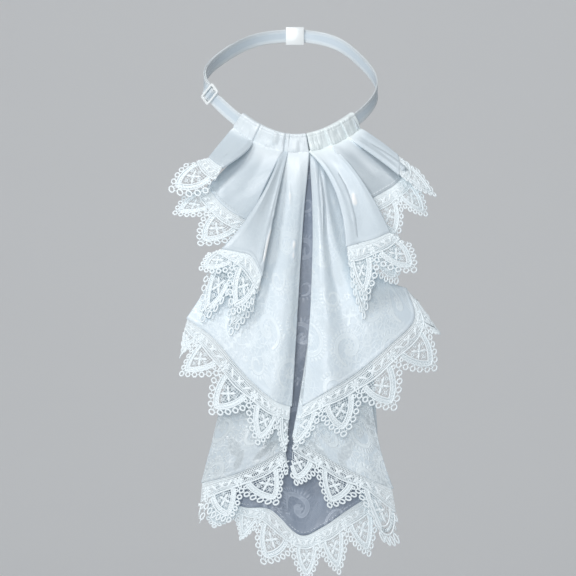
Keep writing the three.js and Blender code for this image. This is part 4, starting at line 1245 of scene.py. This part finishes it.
def make_heading(name, pleats, material):
    """One half of the heading: a pleated casing round the strap."""
    outers, inners = heading_rings(pleats)
    count, size = outers.shape[:2]
    inside = inners.shape[1]
    vertices = np.concatenate([outers.reshape(-1, 3), inners.reshape(-1, 3)])
    here = np.arange(count * size).reshape(count, size)
    deep = np.arange(count * inside).reshape(count, inside) + count * size
    faces = [band_faces(here), band_faces(deep)[:, ::-1]]
    for end, order in ((0, 1), (-1, -1)):
        outer, inner = here[end], deep[end, SLEEVE_CORNERS]
        ring_faces = np.stack([outer, np.roll(outer, -1), np.roll(inner, -1), inner], -1)
        faces.append(ring_faces[:, ::order])
    piece = mesh_piece(f"{name}_casing", vertices, np.concatenate(faces))
    # The casing takes the heading's brightening: partly its double layer, partly painted light
    per_vertex(piece, "heading", np.ones(len(vertices)))
    along = np.linspace(0, CASING_FLAT, count)
    outside = flat_grid(along, np.linspace(*CASING_FLAT_ROUND, size))
    lining = flat_grid(along, np.linspace(*LINING_FLAT_ROUND, inside))
    flat_map(piece, np.concatenate([outside, lining]))
    piece.data.materials.append(material)
    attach(piece, "root")
    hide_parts(name)
    return piece


# Strap

STRAP_SECTION = (
    (-0.5, -0.8), (-0.62, -0.92), (-0.35, -1.0), (0.35, -1.0), (0.62, -0.92), (0.5, -0.8), (0.5, -0.3),
    (0.5, 0.3), (0.5, 0.8), (0.62, 0.92), (0.35, 1.0), (-0.35, 1.0), (-0.62, 0.92), (-0.5, 0.8), (-0.5, 0.3),
    (-0.5, -0.3),
)
BAR_LIFT = SLIDER_THICKNESS + STRAP_THICKNESS + 2 * SLOT_CLEARANCE
SLIDER_HALF_LENGTH = 1.5 * SLIDER_BAR + SLIDER_SLOT
SLIDER_STRAIGHT = SLIDER_HALF_LENGTH + 1.5
CLASP_STRAIGHT = CLASP_LENGTH / 2 + 1.5
STRAP_STEP, RETURN_STEP = 1.25, 1.5
BAR_STATIONS = 33
BAR_EASE = 0.1
SPAN_MARGIN = 1.3


def span_degrees(straight, at):
    """Degrees of the loop that a straight stretch takes up on each side of its middle."""
    speed = np.linalg.norm(loop_point(at + 0.5) - loop_point(at - 0.5))
    return straight / speed * SPAN_MARGIN


def strap_rings(stations):
    """Rings of the strap's section at (degrees, along, out) stations."""
    section = np.array(STRAP_SECTION)
    rings = []
    for degrees, along, out in stations:
        centre, ahead, outward, up = loop_frame(degrees)
        start = centre + ahead * along + outward * out
        thick = outward * section[:, :1] * STRAP_THICKNESS
        rings.append(start + thick + up * section[:, 1:] * STRAP_WIDTH / 2)
    return np.array(rings)


def strap_piece(name, rings, closed, material, node):
    """A strap through the given rings, and its length."""
    count, size = rings.shape[:2]
    here = np.arange(count * size).reshape(count, size)
    piece = mesh_piece(name, rings.reshape(-1, 3), tube_faces(here, closed))
    centre = rings.mean(1)
    run = lengths_along(centre)
    height = np.array(STRAP_SECTION)[:, 1]
    flat_map(piece, flat_grid(run, (height + 1) * STRAP_WIDTH / 2))
    per_vertex(piece, "selvedge", np.tile(smooth(0.7, 0.85, np.abs(height)), count))
    piece.data.materials.append(material)
    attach(piece, "root")
    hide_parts(node)
    length = run[-1] + (np.linalg.norm(centre[0] - centre[-1]) if closed else 0)
    return piece, length


def loop_stations(slider_span, clasp_span):
    """Stations all round the loop: straight at the clasp, and over the slider's middle bar."""
    over, under = SLIDER_BAR / 2 + BAR_EASE, SLIDER_BAR / 2 + SLIDER_SLOT - BAR_EASE
    stations = [(180.0, along, 0.0) for along in (-CLASP_STRAIGHT, 0, CLASP_STRAIGHT)]
    for degrees in np.arange(-180.0, 180.0, STRAP_STEP):
        near_slider = abs(degrees - SLIDER_AT) < slider_span
        near_clasp = 180 - abs(degrees) < clasp_span
        if not near_slider and not near_clasp:
            stations.append((degrees, 0.0, 0.0))
        if degrees <= SLIDER_AT < degrees + STRAP_STEP:
            for along in np.linspace(-SLIDER_STRAIGHT, SLIDER_STRAIGHT, BAR_STATIONS):
                lift = BAR_LIFT * (1 - float(smooth(over, under, abs(along))))
                stations.append((SLIDER_AT, along, lift))
    return stations


def make_strap(material):
    """The neck loop and its turned-back end, each with its length."""
    slider_span = span_degrees(SLIDER_STRAIGHT, SLIDER_AT)
    stations = loop_stations(slider_span, span_degrees(CLASP_STRAIGHT, 180.0))
    loop = strap_piece("neck_ribbon", strap_rings(stations), True, material, "neck_strap")
    out = STRAP_THICKNESS + GAP
    stations = [(SLIDER_AT, -along, out) for along in (SLIDER_HALF_LENGTH + GAP, SLIDER_STRAIGHT)]
    for degrees in np.arange(SLIDER_AT - slider_span, RETURN_END, -RETURN_STEP):
        stations.append((degrees, 0.0, out))
    turned = strap_piece("ribbon_return", strap_rings(stations), False, material, "strap_return")
    return loop, turned


# Degrees between faces: merged under the first, shaded smooth under the second, rounded over the third
MERGED_UNDER, SMOOTH_UNDER, ROUNDED_OVER = 1.0, 35, 40
WELD_DISTANCE = 0.00001
EDGE_SEGMENTS = 3


def softened_copy(node, name, width, material):
    """A CAD node's own shape with its edges rounded, as a moulded piece has them."""
    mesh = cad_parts[node].data.copy()
    mesh.materials.clear()
    piece = bpy.data.objects.new(name, mesh)
    bpy.context.scene.collection.objects.link(piece)
    bpy.ops.object.select_all(action="DESELECT")
    piece.select_set(True)
    bpy.context.view_layer.objects.active = piece
    bpy.ops.object.mode_set(mode="EDIT")
    bpy.ops.mesh.select_all(action="SELECT")
    bpy.ops.mesh.remove_doubles(threshold=WELD_DISTANCE)
    bpy.ops.mesh.dissolve_limited(angle_limit=math.radians(MERGED_UNDER))
    bpy.ops.object.mode_set(mode="OBJECT")
    bevel = piece.modifiers.new("rounded edges", "BEVEL")
    bevel.width = width * MM
    bevel.segments = EDGE_SEGMENTS
    bevel.limit_method = "ANGLE"
    bevel.angle_limit = math.radians(ROUNDED_OVER)
    bpy.ops.object.modifier_apply(modifier=bevel.name)
    bpy.ops.object.shade_smooth_by_angle(angle=math.radians(SMOOTH_UNDER))
    piece.select_set(False)
    piece.data.materials.append(material)
    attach(piece, "root")
    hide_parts(node)
    return piece


# Finishes

class Finish:
    """A new material, with short ways to add its nodes and join them."""

    def __init__(self, name, base, roughness):
        self.material = bpy.data.materials.new(name)
        self.material.use_nodes = True
        self.nodes = self.material.node_tree.nodes
        self.shader = self.nodes["Principled BSDF"]
        self.set(("Base Color", base), ("Roughness", roughness))

    def fill(self, socket, value):
        """Give a socket a number, a colour or another node's output."""
        if isinstance(value, bpy.types.NodeSocket):
            self.material.node_tree.links.new(value, socket)
        elif socket.type == "RGBA":
            socket.default_value = (*value, 1)
        else:
            socket.default_value = value

    def set(self, *pairs):
        """Fill the shader's own sockets."""
        for name, value in pairs:
            self.fill(self.shader.inputs[name], value)

    def add(self, kind, **values):
        """A new node, with its inputs and settings given by name."""
        node = self.nodes.new(f"ShaderNode{kind}")
        for name, value in values.items():
            if name in node.inputs:
                self.fill(node.inputs[name], value)
            else:
                setattr(node, name, value)
        return node

    def attribute(self, name):
        return self.add("Attribute", attribute_name=name).outputs["Fac"]

    def flat(self, scale, degrees=0.0):
        """Places on the flat cloth, scaled and turned."""
        places = self.add("UVMap", uv_map="flat").outputs["UV"]
        turned = (0, 0, math.radians(degrees))
        return self.add("Mapping", Vector=places, Scale=(*scale, 1), Rotation=turned).outputs["Vector"]

    def noise(self, places, scale, detail):
        return self.add("TexNoise", Vector=places, Scale=scale, Detail=detail).outputs["Fac"]

    def object_noise(self, scale, detail):
        """Noise by the place on the object, a size in metres."""
        return self.noise(self.add("TexCoord").outputs["Object"], scale, detail)

    def maths(self, operation, *values):
        node = self.add("Math", operation=operation)
        for socket, value in zip(node.inputs, values):
            self.fill(socket, value)
        return node.outputs[0]

    def ramp(self, value, given, wanted):
        """Soft step of a value from one pair of limits to another."""
        node = self.add("MapRange", interpolation_type="SMOOTHSTEP", Value=value)
        for name, limit in zip(("From Min", "From Max", "To Min", "To Max"), (*given, *wanted)):
            node.inputs[name].default_value = limit
        return node.outputs["Result"]

    def mixed(self, share, first, second):
        node = self.add("Mix", data_type="RGBA")
        for index, value in ((0, share), (6, first), (7, second)):
            self.fill(node.inputs[index], value)
        return node.outputs[2]

    def bumped(self, height, strength, distance, **under):
        node = self.add("Bump", Strength=strength, Distance=distance, Height=height, **under)
        return node.outputs["Normal"]


# The lightest colour that a finish is given, before and after its painted light and shade
LIGHTEST, LIGHTEST_TONED = 0.97, 0.96


def tinted(base, factors):
    return tuple(min(LIGHTEST, part * factor) for part, factor in zip(base, factors))


# How much brighter the woven figure is than the ground, and the heading for its double layer and for painted
# light, in red, green and blue
FIGURE_GAIN = (1.14, 1.115, 1.09)
BACK_FIGURE_GAIN = (1.75, 1.66, 1.55)
HEADING_LAYERS_AND_PAINTED_LIGHT = (1.09, 1.055, 1.03)
CLOUD_SHADE = (0.93, 0.945, 0.965)
# Painted highlight: the near-white colour that sharp creases are drawn in, as glints
PAINTED_GLINT_COLOUR = (0.95, 0.97, 0.98)
COMB_PITCH = 1.9
HATCH_STRENGTH = 0.7
# Roughness of the satin's ground, and how much smoother its figure and creases are
SATIN_ROUGHNESS, SATIN_SMOOTHER = 0.34, -0.1
THREAD_BUMP = (0.25, 0.00008)


def woven_share(cloth):
    """How much of the figure shows at each place: bodies and outlines, hatched leaves, combs and netting."""
    outside = cloth.attribute("outside")
    body = cloth.ramp(outside, (-0.2, 0.2), (0.6, 0.0))
    from_line = cloth.maths("ABSOLUTE", cloth.maths("ADD", outside, 0.45))
    outline = cloth.ramp(from_line, (0.15, 0.5), (1.0, 0.0))
    figure = cloth.maths("MAXIMUM", body, outline)
    figure = cloth.maths("MULTIPLY", figure, cloth.attribute("figured"))
    waves = cloth.add("TexWave", Vector=cloth.flat((2.2, 2.2), 35), Scale=1.9, Distortion=0.6, Detail=0)
    hatched = cloth.maths("MULTIPLY", cloth.attribute("hatch"), waves.outputs["Fac"])
    hatched = cloth.maths("MULTIPLY", hatched, HATCH_STRENGTH)
    run = cloth.maths("MULTIPLY", cloth.attribute("run"), 2 * math.pi / COMB_PITCH)
    bars = cloth.maths("MULTIPLY_ADD", cloth.maths("SINE", run), 0.5, 0.5)
    combed = cloth.maths("MULTIPLY", cloth.attribute("comb"), bars)
    cells = cloth.add("TexVoronoi", feature="DISTANCE_TO_EDGE", Vector=cloth.flat((1, 1)), Scale=2.6)
    edges = cloth.ramp(cells.outputs["Distance"], (0.03, 0.14), (0.6, 0.0))
    netted = cloth.maths("MULTIPLY", cloth.attribute("patch"), edges)
    woven = cloth.maths("MAXIMUM", figure, cloth.maths("MAXIMUM", hatched, combed))
    return cloth.maths("MAXIMUM", woven, netted)


def satin_material(name, base, sides=None):
    """Jacquard satin. Sides, given for the back panel only, is the plain satin colour that its painted shade
    gives way to at its sides.
    """
    cloth = Finish(name, base, SATIN_ROUGHNESS)
    woven = woven_share(cloth)
    crease = cloth.attribute("crease")
    seen = cloth.mixed(cloth.noise(cloth.flat((1, 1)), 0.35, 3.0), tinted(base, CLOUD_SHADE), base)
    # Painted light, partly the double layer: the heading is mixed toward a brighter satin
    seen = cloth.mixed(cloth.attribute("heading"), seen, tinted(base, HEADING_LAYERS_AND_PAINTED_LIGHT))
    seen = cloth.mixed(woven, seen, tinted(base, FIGURE_GAIN if sides is None else BACK_FIGURE_GAIN))
    # Painted highlight: creases are mixed toward near white
    seen = cloth.mixed(crease, seen, PAINTED_GLINT_COLOUR)
    # The back panel's painted shade gives way to the plain satin at its sides
    if sides is not None:
        seen = cloth.mixed(cloth.attribute("side"), seen, sides)
    # Painted light and shade: the colour is scaled by the panel's set brightness
    painted_light_factor = cloth.maths("SUBTRACT", 1.0, cloth.attribute("dimmed"))
    with_painted_light = cloth.add("VectorMath", operation="SCALE", Vector=seen, Scale=painted_light_factor).outputs["Vector"]
    limited = cloth.add("VectorMath", operation="MINIMUM", Vector=with_painted_light)
    limited.inputs[1].default_value = (LIGHTEST_TONED,) * 3
    smoother = cloth.maths("MAXIMUM", woven, crease)
    threads = cloth.bumped(cloth.noise(cloth.flat((38, 5)), 1.0, 2.0), *THREAD_BUMP)
    cloth.set(
        ("Base Color", limited.outputs["Vector"]),
        ("Roughness", cloth.maths("MULTIPLY_ADD", smoother, SATIN_SMOOTHER, SATIN_ROUGHNESS)),
        ("Normal", cloth.bumped(woven, 0.7, 0.0002, Normal=threads)),
        ("Sheen Weight", 0.15),
        ("Sheen Roughness", 0.35),
        ("Specular IOR Level", 0.6),
    )
    return cloth.material


# Painted light: the lace threads glow faintly blue-white, so that they look brighter than their own shading
# lets them
LACE_GLOW_COLOUR = (0.45, 0.8, 1.0)
LACE_GLOW_STRENGTH = 0.045


def lace_material(name, base):
    thread = Finish(name, base, 0.62)
    thread.set(
        ("Base Color", thread.mixed(thread.object_noise(90.0, 2.0), tinted(base, (0.95,) * 3), base)),
        ("Normal", thread.bumped(thread.object_noise(2600.0, 1.0), 0.5, 0.00012)),
        ("Sheen Weight", 0.3),
        # Painted light: a faint glow of the thread
        ("Emission Color", LACE_GLOW_COLOUR),
        ("Emission Strength", LACE_GLOW_STRENGTH),
    )
    return thread.material


def ribbon_material(name, base, edge):
    """Satin ribbon with a paler, ribbed selvedge."""
    ribbon = Finish(name, base, 0.22)
    selvedge = ribbon.attribute("selvedge")
    ribs = ribbon.add("TexWave", Vector=ribbon.flat((2, 0)), Scale=6.0).outputs["Fac"]
    threads = ribbon.bumped(ribbon.noise(ribbon.flat((4, 40)), 1.0, 2.0), *THREAD_BUMP)
    ribbed = ribbon.maths("MULTIPLY", ribs, selvedge)
    ribbon.set(
        ("Base Color", ribbon.mixed(selvedge, base, edge)),
        ("Roughness", ribbon.maths("MULTIPLY_ADD", selvedge, 0.3, 0.22)),
        ("Normal", ribbon.bumped(ribbed, 0.6, 0.0002, Normal=threads)),
    )
    return ribbon.material


def plastic_material(name, base):
    plastic = Finish(name, base, 0.2)
    scuffs = plastic.object_noise(700.0, 3.0)
    plastic.set(
        ("Roughness", plastic.maths("MULTIPLY_ADD", scuffs, 0.12, 0.14)),
        ("Normal", plastic.bumped(scuffs, 0.15, 0.00005)),
        ("Coat Weight", 0.3),
    )
    return plastic.material


def stage_material(name, base):
    paper = Finish(name, base, 0.9)
    grain = paper.object_noise(3.0, 3.0)
    paper.set(("Base Color", paper.mixed(grain, tinted(base, (0.985,) * 3), base)))
    return paper.material


# Settings

def colour(name, description, default):
    return FloatVectorProperty(
        name=name, description=description, subtype="COLOR", size=3, min=0, max=1, default=default
    )


class JabotCloth(PropertyGroup):
    satin: colour("Satin", "Colour of the satin tiers", (0.725, 0.815, 0.875))
    # Painted shade: the back panel's satin is drawn dark grey-blue for the shade in the slit and the dark top
    # behind the thin satin, which is left out; the cloth itself is white satin
    shade: colour("Back panel", "Colour of the back panel's satin", (0.24, 0.29, 0.37))
    lace: colour("Lace", "Colour of the lace threads", (0.9, 0.955, 0.98))
    ribbon: colour("Ribbon", "Colour of the neck strap", (0.63, 0.72, 0.79))
    selvedge: colour("Selvedge", "Colour of the neck strap's woven edges", (0.84, 0.9, 0.93))
    plastic: colour("Plastic", "Colour of the slider and clasp", (0.88, 0.92, 0.93))
    edge_round: FloatProperty(
        name="Edge rounding", description="Rounding of the slider and clasp edges, in millimetres",
        default=0.3, min=0.05, max=0.6,
    )


class JabotStage(PropertyGroup):
    backdrop: colour("Backdrop", "Colour of the floor and backdrop", (0.85, 0.86, 0.87))
    camera_distance: FloatProperty(
        name="Camera distance", description="From the camera to the front of the jabot", default=4.0, min=1.0,
        unit="LENGTH", subtype="DISTANCE",
    )
    frame_width: FloatProperty(
        name="Frame width", description="Width of the picture at the front of the jabot", default=0.4262,
        min=0.1, unit="LENGTH", subtype="DISTANCE",
    )


# Maker of each finish, the material's name and the colours that it takes
FINISHES = {
    "satin": (satin_material, "white satin", ("satin",)),
    "shade": (satin_material, "back satin", ("shade", "satin")),
    "lace": (lace_material, "guipure thread", ("lace",)),
    "ribbon": (ribbon_material, "satin ribbon", ("ribbon", "selvedge")),
    "plastic": (plastic_material, "white plastic", ("plastic",)),
}
MATERIALS = {}


def finish_of(kind):
    """The material of a kind, made once."""
    if kind not in MATERIALS:
        maker, name, colours = FINISHES[kind]
        cloth = bpy.context.scene.jabot_cloth
        MATERIALS[kind] = maker(name, *(tuple(getattr(cloth, part)) for part in colours))
    return MATERIALS[kind]


# Operators

class JABOT_OT_tiers(Operator):
    """Makes every satin panel with its lace hem"""

    bl_idname = "jabot.tiers"
    bl_label = "Tiers and lace"

    def execute(self, context):
        for name in PANELS:
            # The back panel takes the satin drawn with painted shade
            satin = "shade" if name == "back_panel" else "satin"
            cloth, size, area = make_panel(name, finish_of(satin))
            thread = finish_of("lace")
            trims = [make_lace(name, f"{name}_lace", f"lace_{name}", thread, HEM_LACES.get(name))]
            if name in UNDER_LACES:
                node, changed = UNDER_LACES[name]
                behind = LACE_SET_BACK + CLOTH + GAP
                trims.append(make_lace(name, f"{name}_under_lace", node, thread, changed, behind))
        return {"FINISHED"}


class JABOT_OT_stitches(Operator):
    """Makes the row of stitches along each hem"""

    bl_idname = "jabot.stitches"
    bl_label = "Hem stitches"

    def execute(self, context):
        # The stitches take the lace's thread, with its painted glow
        make_stitches(finish_of("lace"))
        return {"FINISHED"}


class JABOT_OT_heading(Operator):
    """Makes the two halves of the pleated heading"""

    bl_idname = "jabot.heading"
    bl_label = "Heading"

    def execute(self, context):
        for name, pleats in (("heading_left", LEFT_PLEATS), ("heading_right", RIGHT_PLEATS)):
            piece = make_heading(name, pleats, finish_of("satin"))
        return {"FINISHED"}


class JABOT_OT_strap(Operator):
    """Makes the neck strap and its turned-back end"""

    bl_idname = "jabot.strap"
    bl_label = "Neck strap"

    def execute(self, context):
        for piece, length in make_strap(finish_of("ribbon")):
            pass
        return {"FINISHED"}


class JABOT_OT_fittings(Operator):
    """Makes the slider and the clasp at the back of the loop"""

    bl_idname = "jabot.fittings"
    bl_label = "Slider and clasp"

    def execute(self, context):
        rounding = context.scene.jabot_cloth.edge_round
        softened_copy("strap_slider", "slider_moulding", rounding, finish_of("plastic"))
        softened_copy("back_clasp", "clasp_moulding", rounding, finish_of("plastic"))
        return {"FINISHED"}


# What the camera and the lights point at, in metres
JABOT_MIDDLE = (-0.0053, -0.105, -0.154)
# Floor and wall in one bent sheet, in metres. The wall stands beyond the camera's distance, so that it
# doesn't hide the jabot from behind
FLOOR_SIZE = 14.0
FLOOR_Z = -0.62
FLOOR_SHIFT = -1.4
WALL_HEIGHT = 5.0
WALL_BEND = 1.2
BEND_SEGMENTS = 16
WORLD_COLOUR, WORLD_STRENGTH = (0.93, 0.965, 1.0, 1), 0.33
SENSOR_WIDTH = 36.0
# Lights. Columns: name, place, what it points at, size and power in watts
LIGHTS = (
    ("key light", (-1.25, -1.1, 0.9), JABOT_MIDDLE, 0.4, 10.5),
    ("front light", (-0.35, -2.6, 0.4), JABOT_MIDDLE, 1.3, 21),
    ("top light", (-0.15, -0.55, 1.25), JABOT_MIDDLE, 0.45, 4.5),
    ("wall light", (0.0, 2.6, 2.4), (0.0, 5.6, 0.0), 1.5, 27),
)


def make_sweep(paper):
    """Floor and wall in one bent sheet."""
    bpy.ops.object.select_all(action="DESELECT")
    bpy.ops.mesh.primitive_plane_add(size=FLOOR_SIZE, location=(0, 0, FLOOR_Z))
    floor = bpy.context.active_object
    floor.name = "floor_sweep"
    bpy.ops.object.mode_set(mode="EDIT")
    bpy.ops.mesh.select_mode(type="EDGE")
    bpy.ops.mesh.select_all(action="DESELECT")
    bpy.ops.object.mode_set(mode="OBJECT")
    for edge in floor.data.edges:
        edge.select = all(floor.data.vertices[v].co.y > 0.49 * FLOOR_SIZE for v in edge.vertices)
    bpy.ops.object.mode_set(mode="EDIT")
    bpy.ops.mesh.extrude_region_move(TRANSFORM_OT_translate={"value": (0, 0, WALL_HEIGHT)})
    bpy.ops.object.mode_set(mode="OBJECT")
    bend = floor.modifiers.new("bend", "BEVEL")
    bend.width = WALL_BEND
    bend.segments = BEND_SEGMENTS
    bpy.ops.object.modifier_apply(modifier=bend.name)
    bpy.ops.object.shade_smooth()
    floor.location.y = FLOOR_SHIFT
    floor.data.materials.append(paper)
    floor.select_set(False)


def add_lamp(name, place, aim, size, power):
    data = bpy.data.lights.new(name, "AREA")
    data.shape = "DISK"
    data.size = size
    data.energy = power
    lamp = bpy.data.objects.new(name, data)
    bpy.context.scene.collection.objects.link(lamp)
    lamp.location = place
    lamp.rotation_euler = (Vector(aim) - lamp.location).to_track_quat("-Z", "Y").to_euler()


def add_camera(distance, frame_width):
    """A level camera in front of the jabot."""
    scene = bpy.context.scene
    data = bpy.data.cameras.new("camera")
    data.sensor_width = SENSOR_WIDTH
    data.lens = SENSOR_WIDTH * distance / frame_width
    data.clip_end = 20
    camera = bpy.data.objects.new("camera", data)
    scene.collection.objects.link(camera)
    camera.location = Vector(JABOT_MIDDLE) - Vector((0, distance, 0))
    camera.rotation_euler = (math.pi / 2, 0, 0)
    scene.camera = camera
    scene.view_settings.view_transform = "Standard"


class JABOT_OT_stage(Operator):
    """Makes the floor, backdrop, lights and camera"""

    bl_idname = "jabot.stage"
    bl_label = "Stage"

    def execute(self, context):
        stage = context.scene.jabot_stage
        make_sweep(stage_material("stage paper", tuple(stage.backdrop)))
        for lamp in LIGHTS:
            add_lamp(*lamp)
        world = bpy.data.worlds.new("studio")
        context.scene.world = world
        world.use_nodes = True
        background = world.node_tree.nodes["Background"]
        background.inputs["Color"].default_value = WORLD_COLOUR
        background.inputs["Strength"].default_value = WORLD_STRENGTH
        add_camera(stage.camera_distance, stage.frame_width)
        return {"FINISHED"}


class JABOT_PT_panel(Panel):
    """Sizes, colours and the steps of the build"""

    bl_label = "Jabot"
    bl_idname = "JABOT_PT_panel"
    bl_space_type = "VIEW_3D"
    bl_region_type = "UI"
    bl_category = "Jabot"

    def draw(self, context):
        layout = self.layout
        for group in (context.scene.jabot_cloth, context.scene.jabot_stage):
            for name in group.__annotations__:
                layout.prop(group, name)
        for operator in STEPS:
            layout.operator(operator.bl_idname)


STEPS = (
    JABOT_OT_tiers,
    JABOT_OT_stitches,
    JABOT_OT_heading,
    JABOT_OT_strap,
    JABOT_OT_fittings,
    JABOT_OT_stage,
)
CLASSES = (JabotCloth, JabotStage, *STEPS, JABOT_PT_panel)


def register():
    for cls in CLASSES:
        bpy.utils.register_class(cls)
    bpy.types.Scene.jabot_cloth = PointerProperty(type=JabotCloth)
    bpy.types.Scene.jabot_stage = PointerProperty(type=JabotStage)


def unregister():
    del bpy.types.Scene.jabot_stage
    del bpy.types.Scene.jabot_cloth
    for cls in reversed(CLASSES):
        bpy.utils.unregister_class(cls)


def main():
    register()
    bpy.ops.jabot.tiers()
    bpy.ops.jabot.stitches()
    bpy.ops.jabot.heading()
    bpy.ops.jabot.strap()
    bpy.ops.jabot.fittings()
    bpy.ops.jabot.stage()


if __name__ == "__main__":
    main()
